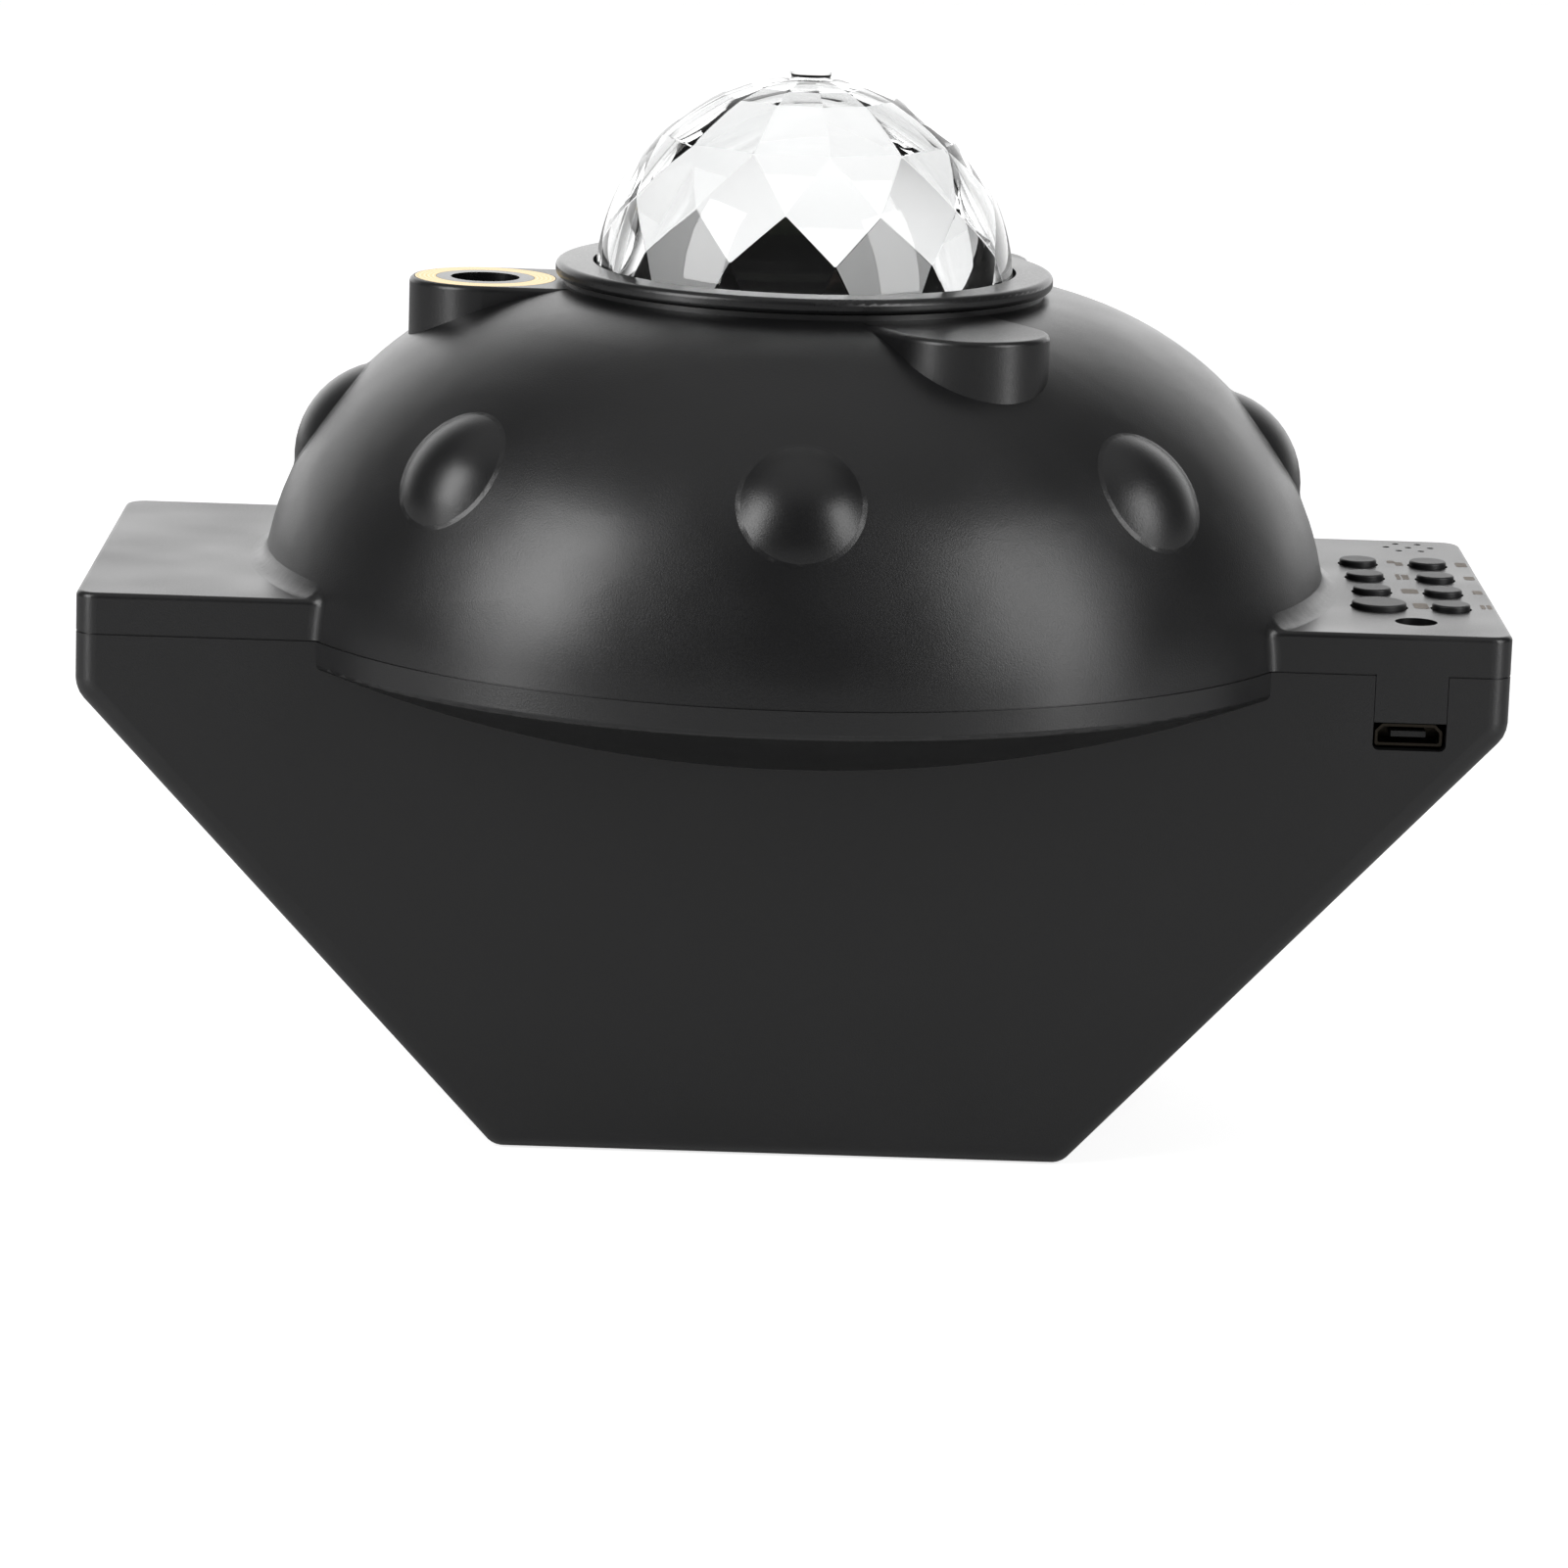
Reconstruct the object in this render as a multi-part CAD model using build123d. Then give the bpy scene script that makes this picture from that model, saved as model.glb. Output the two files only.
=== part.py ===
from build123d import *
import os
from math import asin, cos, degrees, pi, radians, sin, sqrt, tan

# A table-top light projector: wedge stand, saucer dome, turning faceted dome, laser port and a button wing.
# Millimetres. X runs along the wings, the socket side faces -Y, Z is up, the origin is the middle of the foot.

# Stand and cover
WIDTH = 160.0
WING_REACH = 18.5
DEPTH = 62.0
FOOT_WIDTH = 64.4
SHOULDER_Z = 51.1
SEAM_Z = 57.9
WING_TOP_Z = 62.4
WALL = 2.2
EDGE_R = 2.5
FOOT_CORNER_R = 2.5
SHOULDER_CORNER_R = 3.5
LEAST_CORNER_R = 0.3
WING_EDGE_R = 0.6
LIP_HEIGHT = 1.6
SEAM_GROOVE = 0.2
FIT_GAP = 0.1

# Saucer
CROWN_R = 22.7
ARC_DROP = 1.45
BAND_HEIGHT = 3.2
BAND_EDGE_R = 0.8
BOWL_SAG = 13.0
BUMP_COUNT = 8
BUMP_R = 7.2
BUMP_PROUD = 2.0
BUMP_ELEVATION = 35.5
BUMP_BLEND_R = 1.1
WING_BLEND_R = 2.0

# Raised bosses round the collar
BOSS_ANGLES = (180.0, 300.0, 60.0)
BOSS_OFFSET = 8.03
BOSS_R = 8.65
BOSS_DROP = 0.35
BOSS_EDGE_R = 0.6

# Collar and clear dome
NECK_HEIGHT = 0.35
NECK_WALL = 1.6
BEZEL_HEIGHT = 1.8
BEZEL_OVERHANG = 0.94
BEZEL_EDGE_R = 0.7
SKIRT_WALL = 0.9
SKIRT_STEP = 0.7
SKIRT_DEPTH = 2.6
CRYSTAL_R = 23.93
CRYSTAL_WALL = 1.0
CRYSTAL_SINK = 0.3
CRYSTAL_FLANGE = 1.2
FACETS_ROUND = 12
FACET_PHASE = -81.9
BASE_ELEVATION = 4.4
VALLEY_ELEVATION = 12.3
APEX_ELEVATION = 26.2
CROWN_ELEVATION = 44.7
UPPER_ELEVATION = 65.0
POLE_ELEVATION = 83.5
VALLEY_SPREAD = 4.0
NUB_R = 2.3
NUB_HEIGHT = 0.45
RUN_GAP = 0.3
RUN_FIT = 0.08

# Dome drive
GEAR_MODULE = 0.8
PRESSURE_ANGLE = 20.0
ADDENDUM = 0.9
DEDENDUM = 1.25
PINION_TEETH = 10
GEAR_FACE = 3.0
GEAR_COLLAR = 1.4
RING_RIM = 2.95
TOOTH_BACKLASH = 0.3
DECK_THICKNESS = 2.5
DECK_GAP = 4.8
LEDGE_HEIGHT = 1.2
LEDGE_WIDTH = 2.4
HUB_WALL = 2.2
DECK_POST_INSET = 6.0
DECK_POST_R = 3.0
DECK_SCREW_R = 1.0
DECK_SCREW_GRIP = 4.0
MOTOR_R = 7.5
MOTOR_CAN_R = 6.75
MOTOR_LENGTH = 17.0
GEARBOX_LENGTH = 8.0
MOTOR_PLATE = 1.0
MOTOR_EAR_PITCH = 20.0
MOTOR_EAR_WIDTH = 4.0
MOTOR_SHAFT_R = 1.5
SHAFT_SEAT = 6.0
SMALL_SCREW_R = 0.8
HEAD_RATIO = 1.9
HEAD_HEIGHT_RATIO = 1.4
HEAD_CHAMFER_RATIO = 0.3

# Light engine
LED_BOARD_THICKNESS = 1.6
LED_BOARD_GAP = 0.5
LED_SIZE = 3.5
LED_HEIGHT = 1.5
LED_EDGE_R = 0.5
LED_PITCH = 7.0
SINK_PEDESTAL_R = 11.0
SINK_R = 16.0
SINK_PLATE = 2.0
FIN_COUNT = 7
FIN_THICKNESS = 1.2
FIN_HEIGHT = 10.0

# Laser port
TRIM_RING_R = 8.05
TRIM_RING_HOLE_R = 5.66
TRIM_RING_THICKNESS = 1.0
SLEEVE_BORE_R = 3.94
SLEEVE_LENGTH = 3.9
BARREL_R = 6.0
BARREL_LENGTH = 21.0
LENS_R = 3.5
LENS_THICKNESS = 1.2
LENS_DEPTH = 2.6
LASER_BOARD_R = 5.4
LASER_BOARD_THICKNESS = 1.2

# Button wing
BOARD_WIDTH = 18.0
BOARD_THICKNESS = 1.6
BOARD_GAP = 0.6
CONTROL_DEPTH = 6.5
COLUMN_PITCH = 8.2
OUTER_COLUMN_INSET = 5.4
ROW_COUNT = 4
BUTTON_R = 2.17
POWER_R = 3.1
BUTTON_PROUD = 0.65
BUTTON_EDGE_R = 0.25
BUTTON_GAP = 0.2
BUTTON_FLANGE = 0.8
BUTTON_FLANGE_T = 0.8
BUTTON_TRAVEL = 0.4
SWITCH_SIZE = 4.5
SWITCH_HEIGHT = 3.5
PLUNGER_R = 1.2
PLUNGER_LENGTH = 2.2
PLUNGER_PROUD = 1.0
IR_R = 2.34
IR_INSET_X = 10.2
IR_INSET_Y = 8.4
IR_NEARER = 0.5
IR_RECESS = 1.2
IR_THICKNESS = 1.0
RECEIVER_SIZE = 4.6
RECEIVER_HEIGHT = 3.0
RECEIVER_LENS_R = 1.8
MIC_INSET_X = 6.5
MIC_INSET_Y = 5.0
MIC_FARTHER = 3.1
MIC_RING_R = 2.65
MIC_HOLE_R = 0.42
MIC_R = 2.4
MIC_HEIGHT = 2.7
MIC_EDGE_R = 0.3
BOARD_POST_R = 2.4
BOARD_POST_INSET_X = 2.9
BOARD_POST_INSET_Y = 6.8
BOARD_SCREW_GRIP = 4.5
RADIO_LENGTH = 16.0
RADIO_WIDTH = 11.0
RADIO_HEIGHT = 2.2

# Micro-USB inlet
USB_WIDTH = 7.5
USB_HEIGHT = 2.45
USB_DEPTH = 5.2
USB_METAL = 0.3
USB_INSET_X = 11.15
USB_SETBACK = 1.2
USB_MARGIN = 0.35
USB_CHAMFER = 0.8
USB_CORNER_R = 0.25
SLOT_CORNER_R = 0.7
TONGUE_GAP = 0.07
INSERT_HEIGHT = 0.65
INSERT_WIDTH = 3.9
INSERT_BACK = 1.4
INSERT_RECESS = 0.6

# Cover fixing
POST_R = 4.2
POST_INSET = 8.2
WELL_R = 3.0
SCREW_R = 1.45
SCREW_GRIP = 8.0
SCREW_SEAT_DEPTH = 11.0

# Speaker
SPEAKER_Z = 27.5
SPEAKER_SIZE = 41.0
SPEAKER_CORNER_R = 5.0
SPEAKER_FLANGE = 1.5
SPEAKER_HOLE_PITCH = 34.0
SPEAKER_MOUTH_R = 17.0
SPEAKER_BASKET_DEPTH = 9.0
MAGNET_R = 11.0
MAGNET_HEIGHT = 6.0
GASKET_THICKNESS = 2.5
GASKET_R = 19.2
CONE_THICKNESS = 0.6
CONE_DEPTH = 6.0
DUST_CAP_R = 5.5
DUST_CAP_HEIGHT = 1.8
GRILLE_HOLE_R = 1.1
GRILLE_PITCH = 4.4
GRILLE_RINGS = 3
SPEAKER_POST_R = 2.5

# Levels and lines worked out from the sizes above
HALF_W = WIDTH / 2
HALF_D = DEPTH / 2
SAUCER_R = HALF_W - WING_REACH
INNER_X = HALF_W - WALL
INNER_Y = HALF_D - WALL
WING_UNDER_Z = WING_TOP_Z - WALL
BAND_Z = SEAM_Z - BAND_HEIGHT
BOWL_R = (SAUCER_R ** 2 + BOWL_SAG ** 2) / (2 * BOWL_SAG)
BOWL_CENTRE_Z = BAND_Z - BOWL_SAG + BOWL_R
DOME_ARC_R = SAUCER_R - CROWN_R
ARC_Z = SEAM_Z - ARC_DROP
DOME_TOP_Z = ARC_Z + DOME_ARC_R
BUMP_Z = ARC_Z + DOME_ARC_R * sin(radians(BUMP_ELEVATION))
BOSS_TOP_Z = DOME_TOP_Z - BOSS_DROP
NECK_TOP_Z = DOME_TOP_Z + NECK_HEIGHT
BEZEL_TOP_Z = NECK_TOP_Z + BEZEL_HEIGHT
BEZEL_IN_R = CRYSTAL_R + RUN_GAP
SKIRT_IN_R = BEZEL_IN_R + SKIRT_STEP
SKIRT_OUT_R = SKIRT_IN_R + SKIRT_WALL
NECK_IN_R = SKIRT_OUT_R + FIT_GAP
NECK_OUT_R = NECK_IN_R + NECK_WALL
BEZEL_OUT_R = NECK_OUT_R + BEZEL_OVERHANG
BOSS_RHO = BEZEL_OUT_R + BOSS_OFFSET
BOSS_LOW_Z = ARC_Z + sqrt(DOME_ARC_R ** 2 - (BOSS_RHO + BOSS_R - CROWN_R) ** 2) - WALL
SKIRT_BOTTOM_Z = NECK_TOP_Z - SKIRT_DEPTH
CRYSTAL_BASE_Z = BEZEL_TOP_Z - CRYSTAL_SINK
CRYSTAL_CENTRE_Z = CRYSTAL_BASE_Z - CRYSTAL_R * sin(radians(BASE_ELEVATION))
FLANGE_TOP_Z = SKIRT_BOTTOM_Z - RUN_GAP
FLANGE_BOTTOM_Z = FLANGE_TOP_Z - CRYSTAL_FLANGE
FLANGE_R = SKIRT_OUT_R - RUN_GAP
CRYSTAL_IN_R = CRYSTAL_R - CRYSTAL_WALL
GEAR_TOP_Z = FLANGE_BOTTOM_Z - GEAR_COLLAR
GEAR_BOTTOM_Z = GEAR_TOP_Z - GEAR_FACE
RING_TEETH = 2 * round(CRYSTAL_R / GEAR_MODULE)
RING_PITCH_R = RING_TEETH * GEAR_MODULE / 2
RING_ROOT_R = RING_PITCH_R - DEDENDUM * GEAR_MODULE
RING_BORE_R = RING_ROOT_R - RING_RIM
PINION_PITCH_R = PINION_TEETH * GEAR_MODULE / 2
MOTOR_RHO = RING_PITCH_R + PINION_PITCH_R
HUB_R = RING_BORE_R - RUN_FIT
HUB_IN_R = HUB_R - HUB_WALL
LEDGE_Z = GEAR_BOTTOM_Z - RUN_GAP
DECK_TOP_Z = LEDGE_Z - LEDGE_HEIGHT
DECK_BOTTOM_Z = DECK_TOP_Z - DECK_THICKNESS
DECK_R = CROWN_R + sqrt((DOME_ARC_R - WALL) ** 2 - (DECK_TOP_Z - ARC_Z) ** 2) - DECK_GAP
DECK_POST_RHO = DECK_R - DECK_POST_INSET
HUB_TOP_Z = FLANGE_BOTTOM_Z - RUN_GAP
LED_BOARD_R = HUB_IN_R - LED_BOARD_GAP
BOARD_TOP_Z = WING_UNDER_Z - CONTROL_DEPTH
BOARD_BOTTOM_Z = BOARD_TOP_Z - BOARD_THICKNESS
BOARD_OUTER_X = INNER_X - BOARD_GAP
BOARD_INNER_X = BOARD_OUTER_X - BOARD_WIDTH
BOARD_HALF_Y = INNER_Y - BOARD_GAP
POST_Y = INNER_Y - POST_R + BOARD_GAP
POST_X = sqrt((SAUCER_R - POST_INSET) ** 2 - POST_Y ** 2)
SEAT_Z = SEAM_Z - SCREW_SEAT_DEPTH
OUTER_COLUMN_X = HALF_W - OUTER_COLUMN_INSET
INNER_COLUMN_X = OUTER_COLUMN_X - COLUMN_PITCH
IR_X = HALF_W - IR_INSET_X
IR_Y = IR_INSET_Y - HALF_D
MIC_X = HALF_W - MIC_INSET_X
MIC_Y = HALF_D - MIC_INSET_Y
BACK_ROW_GAP_Y = MIC_Y - MIC_FARTHER
ROW_PITCH = (BACK_ROW_GAP_Y - IR_Y + IR_NEARER) / (ROW_COUNT + 1)
BOARD_POST_X = BOARD_INNER_X + BOARD_POST_INSET_X
BOARD_POST_Y = BOARD_HALF_Y - BOARD_POST_INSET_Y
USB_X = HALF_W - USB_INSET_X
USB_Z = BOARD_BOTTOM_Z - USB_HEIGHT / 2
USB_FRONT_Y = USB_SETBACK - HALF_D
SLOT_WIDTH = USB_WIDTH + 2 * USB_MARGIN
SLOT_BOTTOM_Z = USB_Z - USB_HEIGHT / 2 - USB_MARGIN
TONGUE_BOTTOM_Z = BOARD_BOTTOM_Z + USB_MARGIN
SLEEVE_BOTTOM_Z = BOSS_TOP_Z - SLEEVE_LENGTH
BARREL_BOTTOM_Z = SLEEVE_BOTTOM_Z - BARREL_LENGTH
SPEAKER_SEAT_Y = INNER_Y - GASKET_THICKNESS
SPEAKER_BACK_Y = SPEAKER_SEAT_Y - SPEAKER_FLANGE


def rod(radius, low, high, x=0.0, y=0.0):
    """An upright round bar between two levels."""
    return Pos(x, y, low) * Cylinder(radius, high - low, align=(Align.CENTER, Align.CENTER, Align.MIN))


def tube(outer, inner, low, high, x=0.0, y=0.0):
    """An upright ring between two levels."""
    return rod(outer, low, high, x, y) - rod(inner, low, high, x, y)


def slab(length, depth, low, high, x=0.0, y=0.0):
    """An upright block between two levels, centred on x and y."""
    return Pos(x, y, low) * Box(length, depth, high - low, align=(Align.CENTER, Align.CENTER, Align.MIN))


def polar(rho, angle):
    """The plan point at a distance and an angle from the upright axis."""
    return rho * cos(radians(angle)), rho * sin(radians(angle))


def screw(radius, head_low, tip, x, y):
    """A pan-head screw pointing up, its head standing on the level head_low."""
    head_height = HEAD_HEIGHT_RATIO * radius
    head = rod(HEAD_RATIO * radius, head_low - head_height, head_low, x, y)
    head = chamfer(head.edges().group_by(Axis.Z)[0], HEAD_CHAMFER_RATIO * radius)
    return head + rod(radius, head_low, tip, x, y)


def outline(inset):
    """The plan outline at the seam: both wings and the saucer rim, drawn in by a wall or a part of one."""
    wings = RectangleRounded(WIDTH - 2 * inset, DEPTH - 2 * inset, max(EDGE_R - inset, LEAST_CORNER_R))
    return wings + Circle(SAUCER_R - inset)


def wedge(inset, top):
    """The wedge stand: its front profile pushed through the depth, drawn in by inset on every side."""
    slope = (HALF_W - FOOT_WIDTH / 2) / SHOULDER_Z
    lean = sqrt(1 + slope ** 2)
    foot = FOOT_WIDTH / 2 + slope * inset - lean * inset
    shoulder = (HALF_W - inset - foot) / slope + inset
    right = [(foot, inset), (HALF_W - inset, shoulder), (HALF_W - inset, top)]
    left = [(-x, z) for x, z in reversed(right)]
    profile = make_face(Polyline(*right, *left, close=True))
    foot_corners = profile.vertices().group_by(Axis.Y)[0]
    profile = fillet(foot_corners, max(FOOT_CORNER_R - inset, LEAST_CORNER_R))
    shoulder_corners = [v for v in profile.vertices() if abs(v.Y - shoulder) < FIT_GAP]
    profile = fillet(shoulder_corners, max(SHOULDER_CORNER_R - inset, LEAST_CORNER_R))
    return extrude(Plane.XZ * profile, HALF_D - inset, both=True)


def bowl(inset, top):
    """The saucer's underside: a shallow spherical cap and the upright band above it."""
    rim = SAUCER_R - inset
    radius = BOWL_R - inset
    low = BOWL_CENTRE_Z - radius
    edge = BOWL_CENTRE_Z - sqrt(radius ** 2 - rim ** 2)
    middle = BOWL_CENTRE_Z - sqrt(radius ** 2 - rim ** 2 / 4)
    cap = ThreePointArc((0, low), (rim / 2, middle), (rim, edge))
    walls = Polyline((rim, edge), (rim, top), (0, top), (0, low))
    profile = make_face([cap, walls])
    corner = profile.vertices().sort_by_distance((rim, edge))[0]
    return revolve(Plane.XZ * fillet(corner, BAND_EDGE_R), Axis.Z)


def dome(inset, low):
    """The saucer's upper half: a flat crown inside an arc that falls to the rim."""
    radius = DOME_ARC_R - inset
    start = asin((low - ARC_Z) / radius)
    arc = CenterArc((CROWN_R, ARC_Z), radius, degrees(start), 90 - degrees(start))
    rim = CROWN_R + radius * cos(start)
    walls = Polyline((CROWN_R, ARC_Z + radius), (0, ARC_Z + radius), (0, low), (rim, low))
    return Rot(0, 0, 90 - 180 / BUMP_COUNT) * revolve(Plane.XZ * make_face([arc, walls]), Axis.Z)


def bump_balls(inset):
    """The balls whose outer caps stand out of the saucer as a ring of round bumps."""
    rise = BUMP_PROUD + DOME_ARC_R - sqrt(DOME_ARC_R ** 2 - BUMP_R ** 2)
    ball_r = (BUMP_R ** 2 + rise ** 2) / (2 * rise)
    lean = radians(BUMP_ELEVATION)
    depth = DOME_ARC_R - ball_r + BUMP_PROUD
    rho = CROWN_R + depth * cos(lean)
    height = ARC_Z + depth * sin(lean)
    ball = Pos(rho, 0, height) * Rot(0, 0, 180) * Sphere(ball_r - inset) & rod(SAUCER_R, SEAM_Z, DOME_TOP_Z)
    return [Rot(0, 0, 360 / BUMP_COUNT * i) * ball for i in range(BUMP_COUNT)]


def boss(angle, inset, low, top):
    """A raised boss: round at its outer end, its sides running in towards the collar."""
    reach = BOSS_RHO - NECK_IN_R + BOSS_R / 2
    plan = Pos(BOSS_RHO, 0) * Circle(BOSS_R - inset)
    plan += Pos(BOSS_RHO - reach / 2, 0) * Rectangle(reach, 2 * (BOSS_R - inset))
    block = extrude(Pos(0, 0, low) * plan, top - low)
    if inset == 0:
        block = fillet(block.faces().sort_by(Axis.Z)[-1].edges(), BOSS_EDGE_R)
    return Rot(0, 0, angle) * block


def button_places():
    """Name, place and radius of every push button, row by row from the back."""
    for row in range(ROW_COUNT):
        y = BACK_ROW_GAP_Y - ROW_PITCH * (row + 1)
        power = row == ROW_COUNT - 1
        inner_name = "button_power" if power else f"button_inner_{row + 1}"
        yield inner_name, INNER_COLUMN_X, y, POWER_R if power else BUTTON_R
        yield f"button_outer_{row + 1}", OUTER_COLUMN_X, y, BUTTON_R


def corner_posts():
    """Plan points of the four cover screws."""
    return [(sx * POST_X, sy * POST_Y) for sx in (-1, 1) for sy in (-1, 1)]


def deck_posts():
    """Plan points of the screws that hold the inner deck, midway between the bosses."""
    return [polar(DECK_POST_RHO, angle + 180) for angle in BOSS_ANGLES]


def speaker_holes():
    """X and Z of the speaker's four fixing holes."""
    half = SPEAKER_HOLE_PITCH / 2
    return [(sx * half, SPEAKER_Z + sz * half) for sx in (-1, 1) for sz in (-1, 1)]


def along_y(radius, near, far, x, z):
    """A round bar lying front to back between two depths."""
    return Pos(x, near, z) * Rot(-90, 0, 0) * rod(radius, 0, far - near)


def base_shell():
    """The stand: wedge and bowl in one hollow moulding, with a lip at the seam and four screw posts."""
    above = SEAM_Z + 3 * EDGE_R
    wedge_body = wedge(0, above)
    by_depth = wedge_body.faces().sort_by(Axis.Y)
    rims = by_depth[0].edges() + by_depth[-1].edges()
    solid = fillet([e for e in rims if e.center().Z < above - EDGE_R], EDGE_R) + bowl(0, above)
    solid -= slab(2 * WIDTH, 4 * SAUCER_R, SEAM_Z, above + EDGE_R)
    inside = wedge(WALL, above) + bowl(WALL, above)
    shell = solid - inside
    groove = outline(-WALL) - outline(SEAM_GROOVE)
    shell -= extrude(Pos(0, 0, SEAM_Z - SEAM_GROOVE) * groove, SEAM_GROOVE)
    lip = outline(WALL / 2 + FIT_GAP) - outline(WALL)
    shell += extrude(Pos(0, 0, SEAM_Z) * lip, LIP_HEIGHT)
    for x, y in corner_posts():
        shell += rod(POST_R, 0, SEAM_Z, x, y) & solid
    for x, y in corner_posts():
        shell -= rod(WELL_R, 0, SEAT_Z, x, y)
        shell -= rod(SCREW_R + FIT_GAP, SEAT_Z, SEAM_Z, x, y)
    slot_top = SEAM_Z + 2 * LIP_HEIGHT
    slot = slab(SLOT_WIDTH, 2 * WALL, SLOT_BOTTOM_Z, slot_top, USB_X, -HALF_D + WALL)
    shell -= fillet(slot.edges().filter_by(Axis.Y).group_by(Axis.Z)[0], SLOT_CORNER_R)
    for x, z in speaker_holes():
        shell += along_y(SPEAKER_POST_R, SPEAKER_SEAT_Y, INNER_Y, x, z)
        shell -= along_y(SMALL_SCREW_R + FIT_GAP, SPEAKER_SEAT_Y, INNER_Y, x, z)
    return shell - grille()


def grille():
    """The speaker's sound holes through the back wall, on rings of six, twelve and so on."""
    places = [(0.0, 0.0)]
    for ring in range(1, GRILLE_RINGS + 1):
        count = 6 * ring
        places += [polar(ring * GRILLE_PITCH, 360 / count * i) for i in range(count)]
    return [along_y(GRILLE_HOLE_R, INNER_Y - WALL / 2, HALF_D + WALL, x, SPEAKER_Z + z) for x, z in places]


def is_wing_corner(edge):
    """Whether an edge is the inside corner between a wing's top and the saucer."""
    middle = edge.center()
    return abs(middle.Z - WING_TOP_Z) < FIT_GAP and abs(middle.X) < SAUCER_R and abs(middle.Y) < WALL


def cover_outside():
    """The cover's outer form, solid: saucer with its blended bumps, both wings, the bosses and the neck."""
    wing = Pos(0, 0, SEAM_Z) * extrude(RectangleRounded(WIDTH, DEPTH, EDGE_R), WING_TOP_Z - SEAM_Z)
    wing = fillet(wing.faces().sort_by(Axis.Z)[-1].edges(), WING_EDGE_R)
    solid = dome(0, SEAM_Z) + bump_balls(0)
    rims = [e for e in solid.edges() if abs(e.center().Z - BUMP_Z) < BUMP_R and e.length < 8 * BUMP_R]
    solid = fillet(rims, BUMP_BLEND_R) + wing
    corners = [e for e in solid.edges() if is_wing_corner(e)]
    solid = fillet(corners, WING_BLEND_R)
    for angle in BOSS_ANGLES:
        solid += boss(angle, 0, BOSS_LOW_Z, BOSS_TOP_Z)
    return solid + rod(NECK_OUT_R, DOME_TOP_Z - WALL, NECK_TOP_Z)


def cover_inside():
    """The room under the cover, with the laser boss and all screw posts left standing in it."""
    room = dome(WALL, SEAM_Z) + bump_balls(WALL)
    room += slab(WIDTH - 2 * WALL, DEPTH - 2 * WALL, SEAM_Z, WING_UNDER_Z)
    for angle in BOSS_ANGLES[1:]:
        room += boss(angle, WALL, BOSS_LOW_Z - WALL, BOSS_TOP_Z - WALL)
    room -= boss(BOSS_ANGLES[0], 0, SLEEVE_BOTTOM_Z - WALL, BOSS_TOP_Z)
    for x, y in corner_posts():
        room -= rod(POST_R, SEAM_Z, DOME_TOP_Z, x, y)
    for x, y in deck_posts():
        room -= rod(DECK_POST_R, DECK_TOP_Z, DOME_TOP_Z, x, y)
    return room


def top_cover():
    """Saucer dome and both wings in one hollow moulding, open below."""
    cover = cover_outside() - cover_inside()
    rebate = outline(WALL / 2) - outline(WALL + RUN_GAP)
    cover -= extrude(Pos(0, 0, SEAM_Z) * rebate, LIP_HEIGHT + FIT_GAP)
    for x, y in corner_posts():
        cover -= rod(SCREW_R + FIT_GAP / 2, SEAM_Z, SEAM_Z + SCREW_GRIP, x, y)
    for x, y in deck_posts():
        cover -= rod(DECK_SCREW_R + FIT_GAP / 2, DECK_TOP_Z, DECK_TOP_Z + DECK_SCREW_GRIP, x, y)
    cover -= rod(NECK_IN_R, DECK_TOP_Z, NECK_TOP_Z)
    laser_x, laser_y = polar(BOSS_RHO, BOSS_ANGLES[0])
    cover -= rod(BARREL_R + FIT_GAP, BARREL_BOTTOM_Z, SLEEVE_BOTTOM_Z + WALL / 2, laser_x, laser_y)
    cover -= rod(TRIM_RING_HOLE_R + FIT_GAP, SLEEVE_BOTTOM_Z, BOSS_TOP_Z, laser_x, laser_y)
    cover -= rod(TRIM_RING_R + FIT_GAP, BOSS_TOP_Z - TRIM_RING_THICKNESS, BOSS_TOP_Z, laser_x, laser_y)
    return wing_details(cover)


def wing_details(cover):
    """Button, window and microphone holes, board posts and the tongue that fills the socket slot."""
    for _, x, y, radius in button_places():
        cover -= rod(radius + BUTTON_GAP, WING_UNDER_Z, WING_TOP_Z + WING_BLEND_R, x, y)
    cover -= rod(IR_R + FIT_GAP / 2, WING_UNDER_Z, WING_TOP_Z, IR_X, IR_Y)
    cover -= [rod(MIC_HOLE_R, WING_UNDER_Z, WING_TOP_Z, MIC_X + x, MIC_Y + y) for x, y in microphone_holes()]
    for side in (-1, 1):
        y = side * BOARD_POST_Y
        cover += rod(BOARD_POST_R, BOARD_TOP_Z, WING_UNDER_Z, BOARD_POST_X, y)
        cover -= rod(SMALL_SCREW_R + FIT_GAP / 2, BOARD_TOP_Z, BOARD_TOP_Z + BOARD_SCREW_GRIP, BOARD_POST_X, y)
    tongue_top = SEAM_Z + 2 * LIP_HEIGHT
    cover += slab(SLOT_WIDTH - 2 * TONGUE_GAP, WALL, TONGUE_BOTTOM_Z, tongue_top, USB_X, -HALF_D + WALL / 2)
    return cover


def microphone_holes():
    """Six holes round a middle one."""
    return [(0.0, 0.0)] + [polar(MIC_RING_R, 60 * i) for i in range(6)]


def dome_bezel():
    """The collar: a rounded flange on the cover's neck and a skirt inside it."""
    flange = tube(BEZEL_OUT_R, BEZEL_IN_R, NECK_TOP_Z, BEZEL_TOP_Z)
    rounded = flange.edges().filter_by(GeomType.CIRCLE).sort_by(SortBy.RADIUS)[-2:]
    flange = fillet(rounded, BEZEL_EDGE_R)
    return flange + tube(SKIRT_OUT_R, SKIRT_IN_R, SKIRT_BOTTOM_Z, NECK_TOP_Z)


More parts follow.
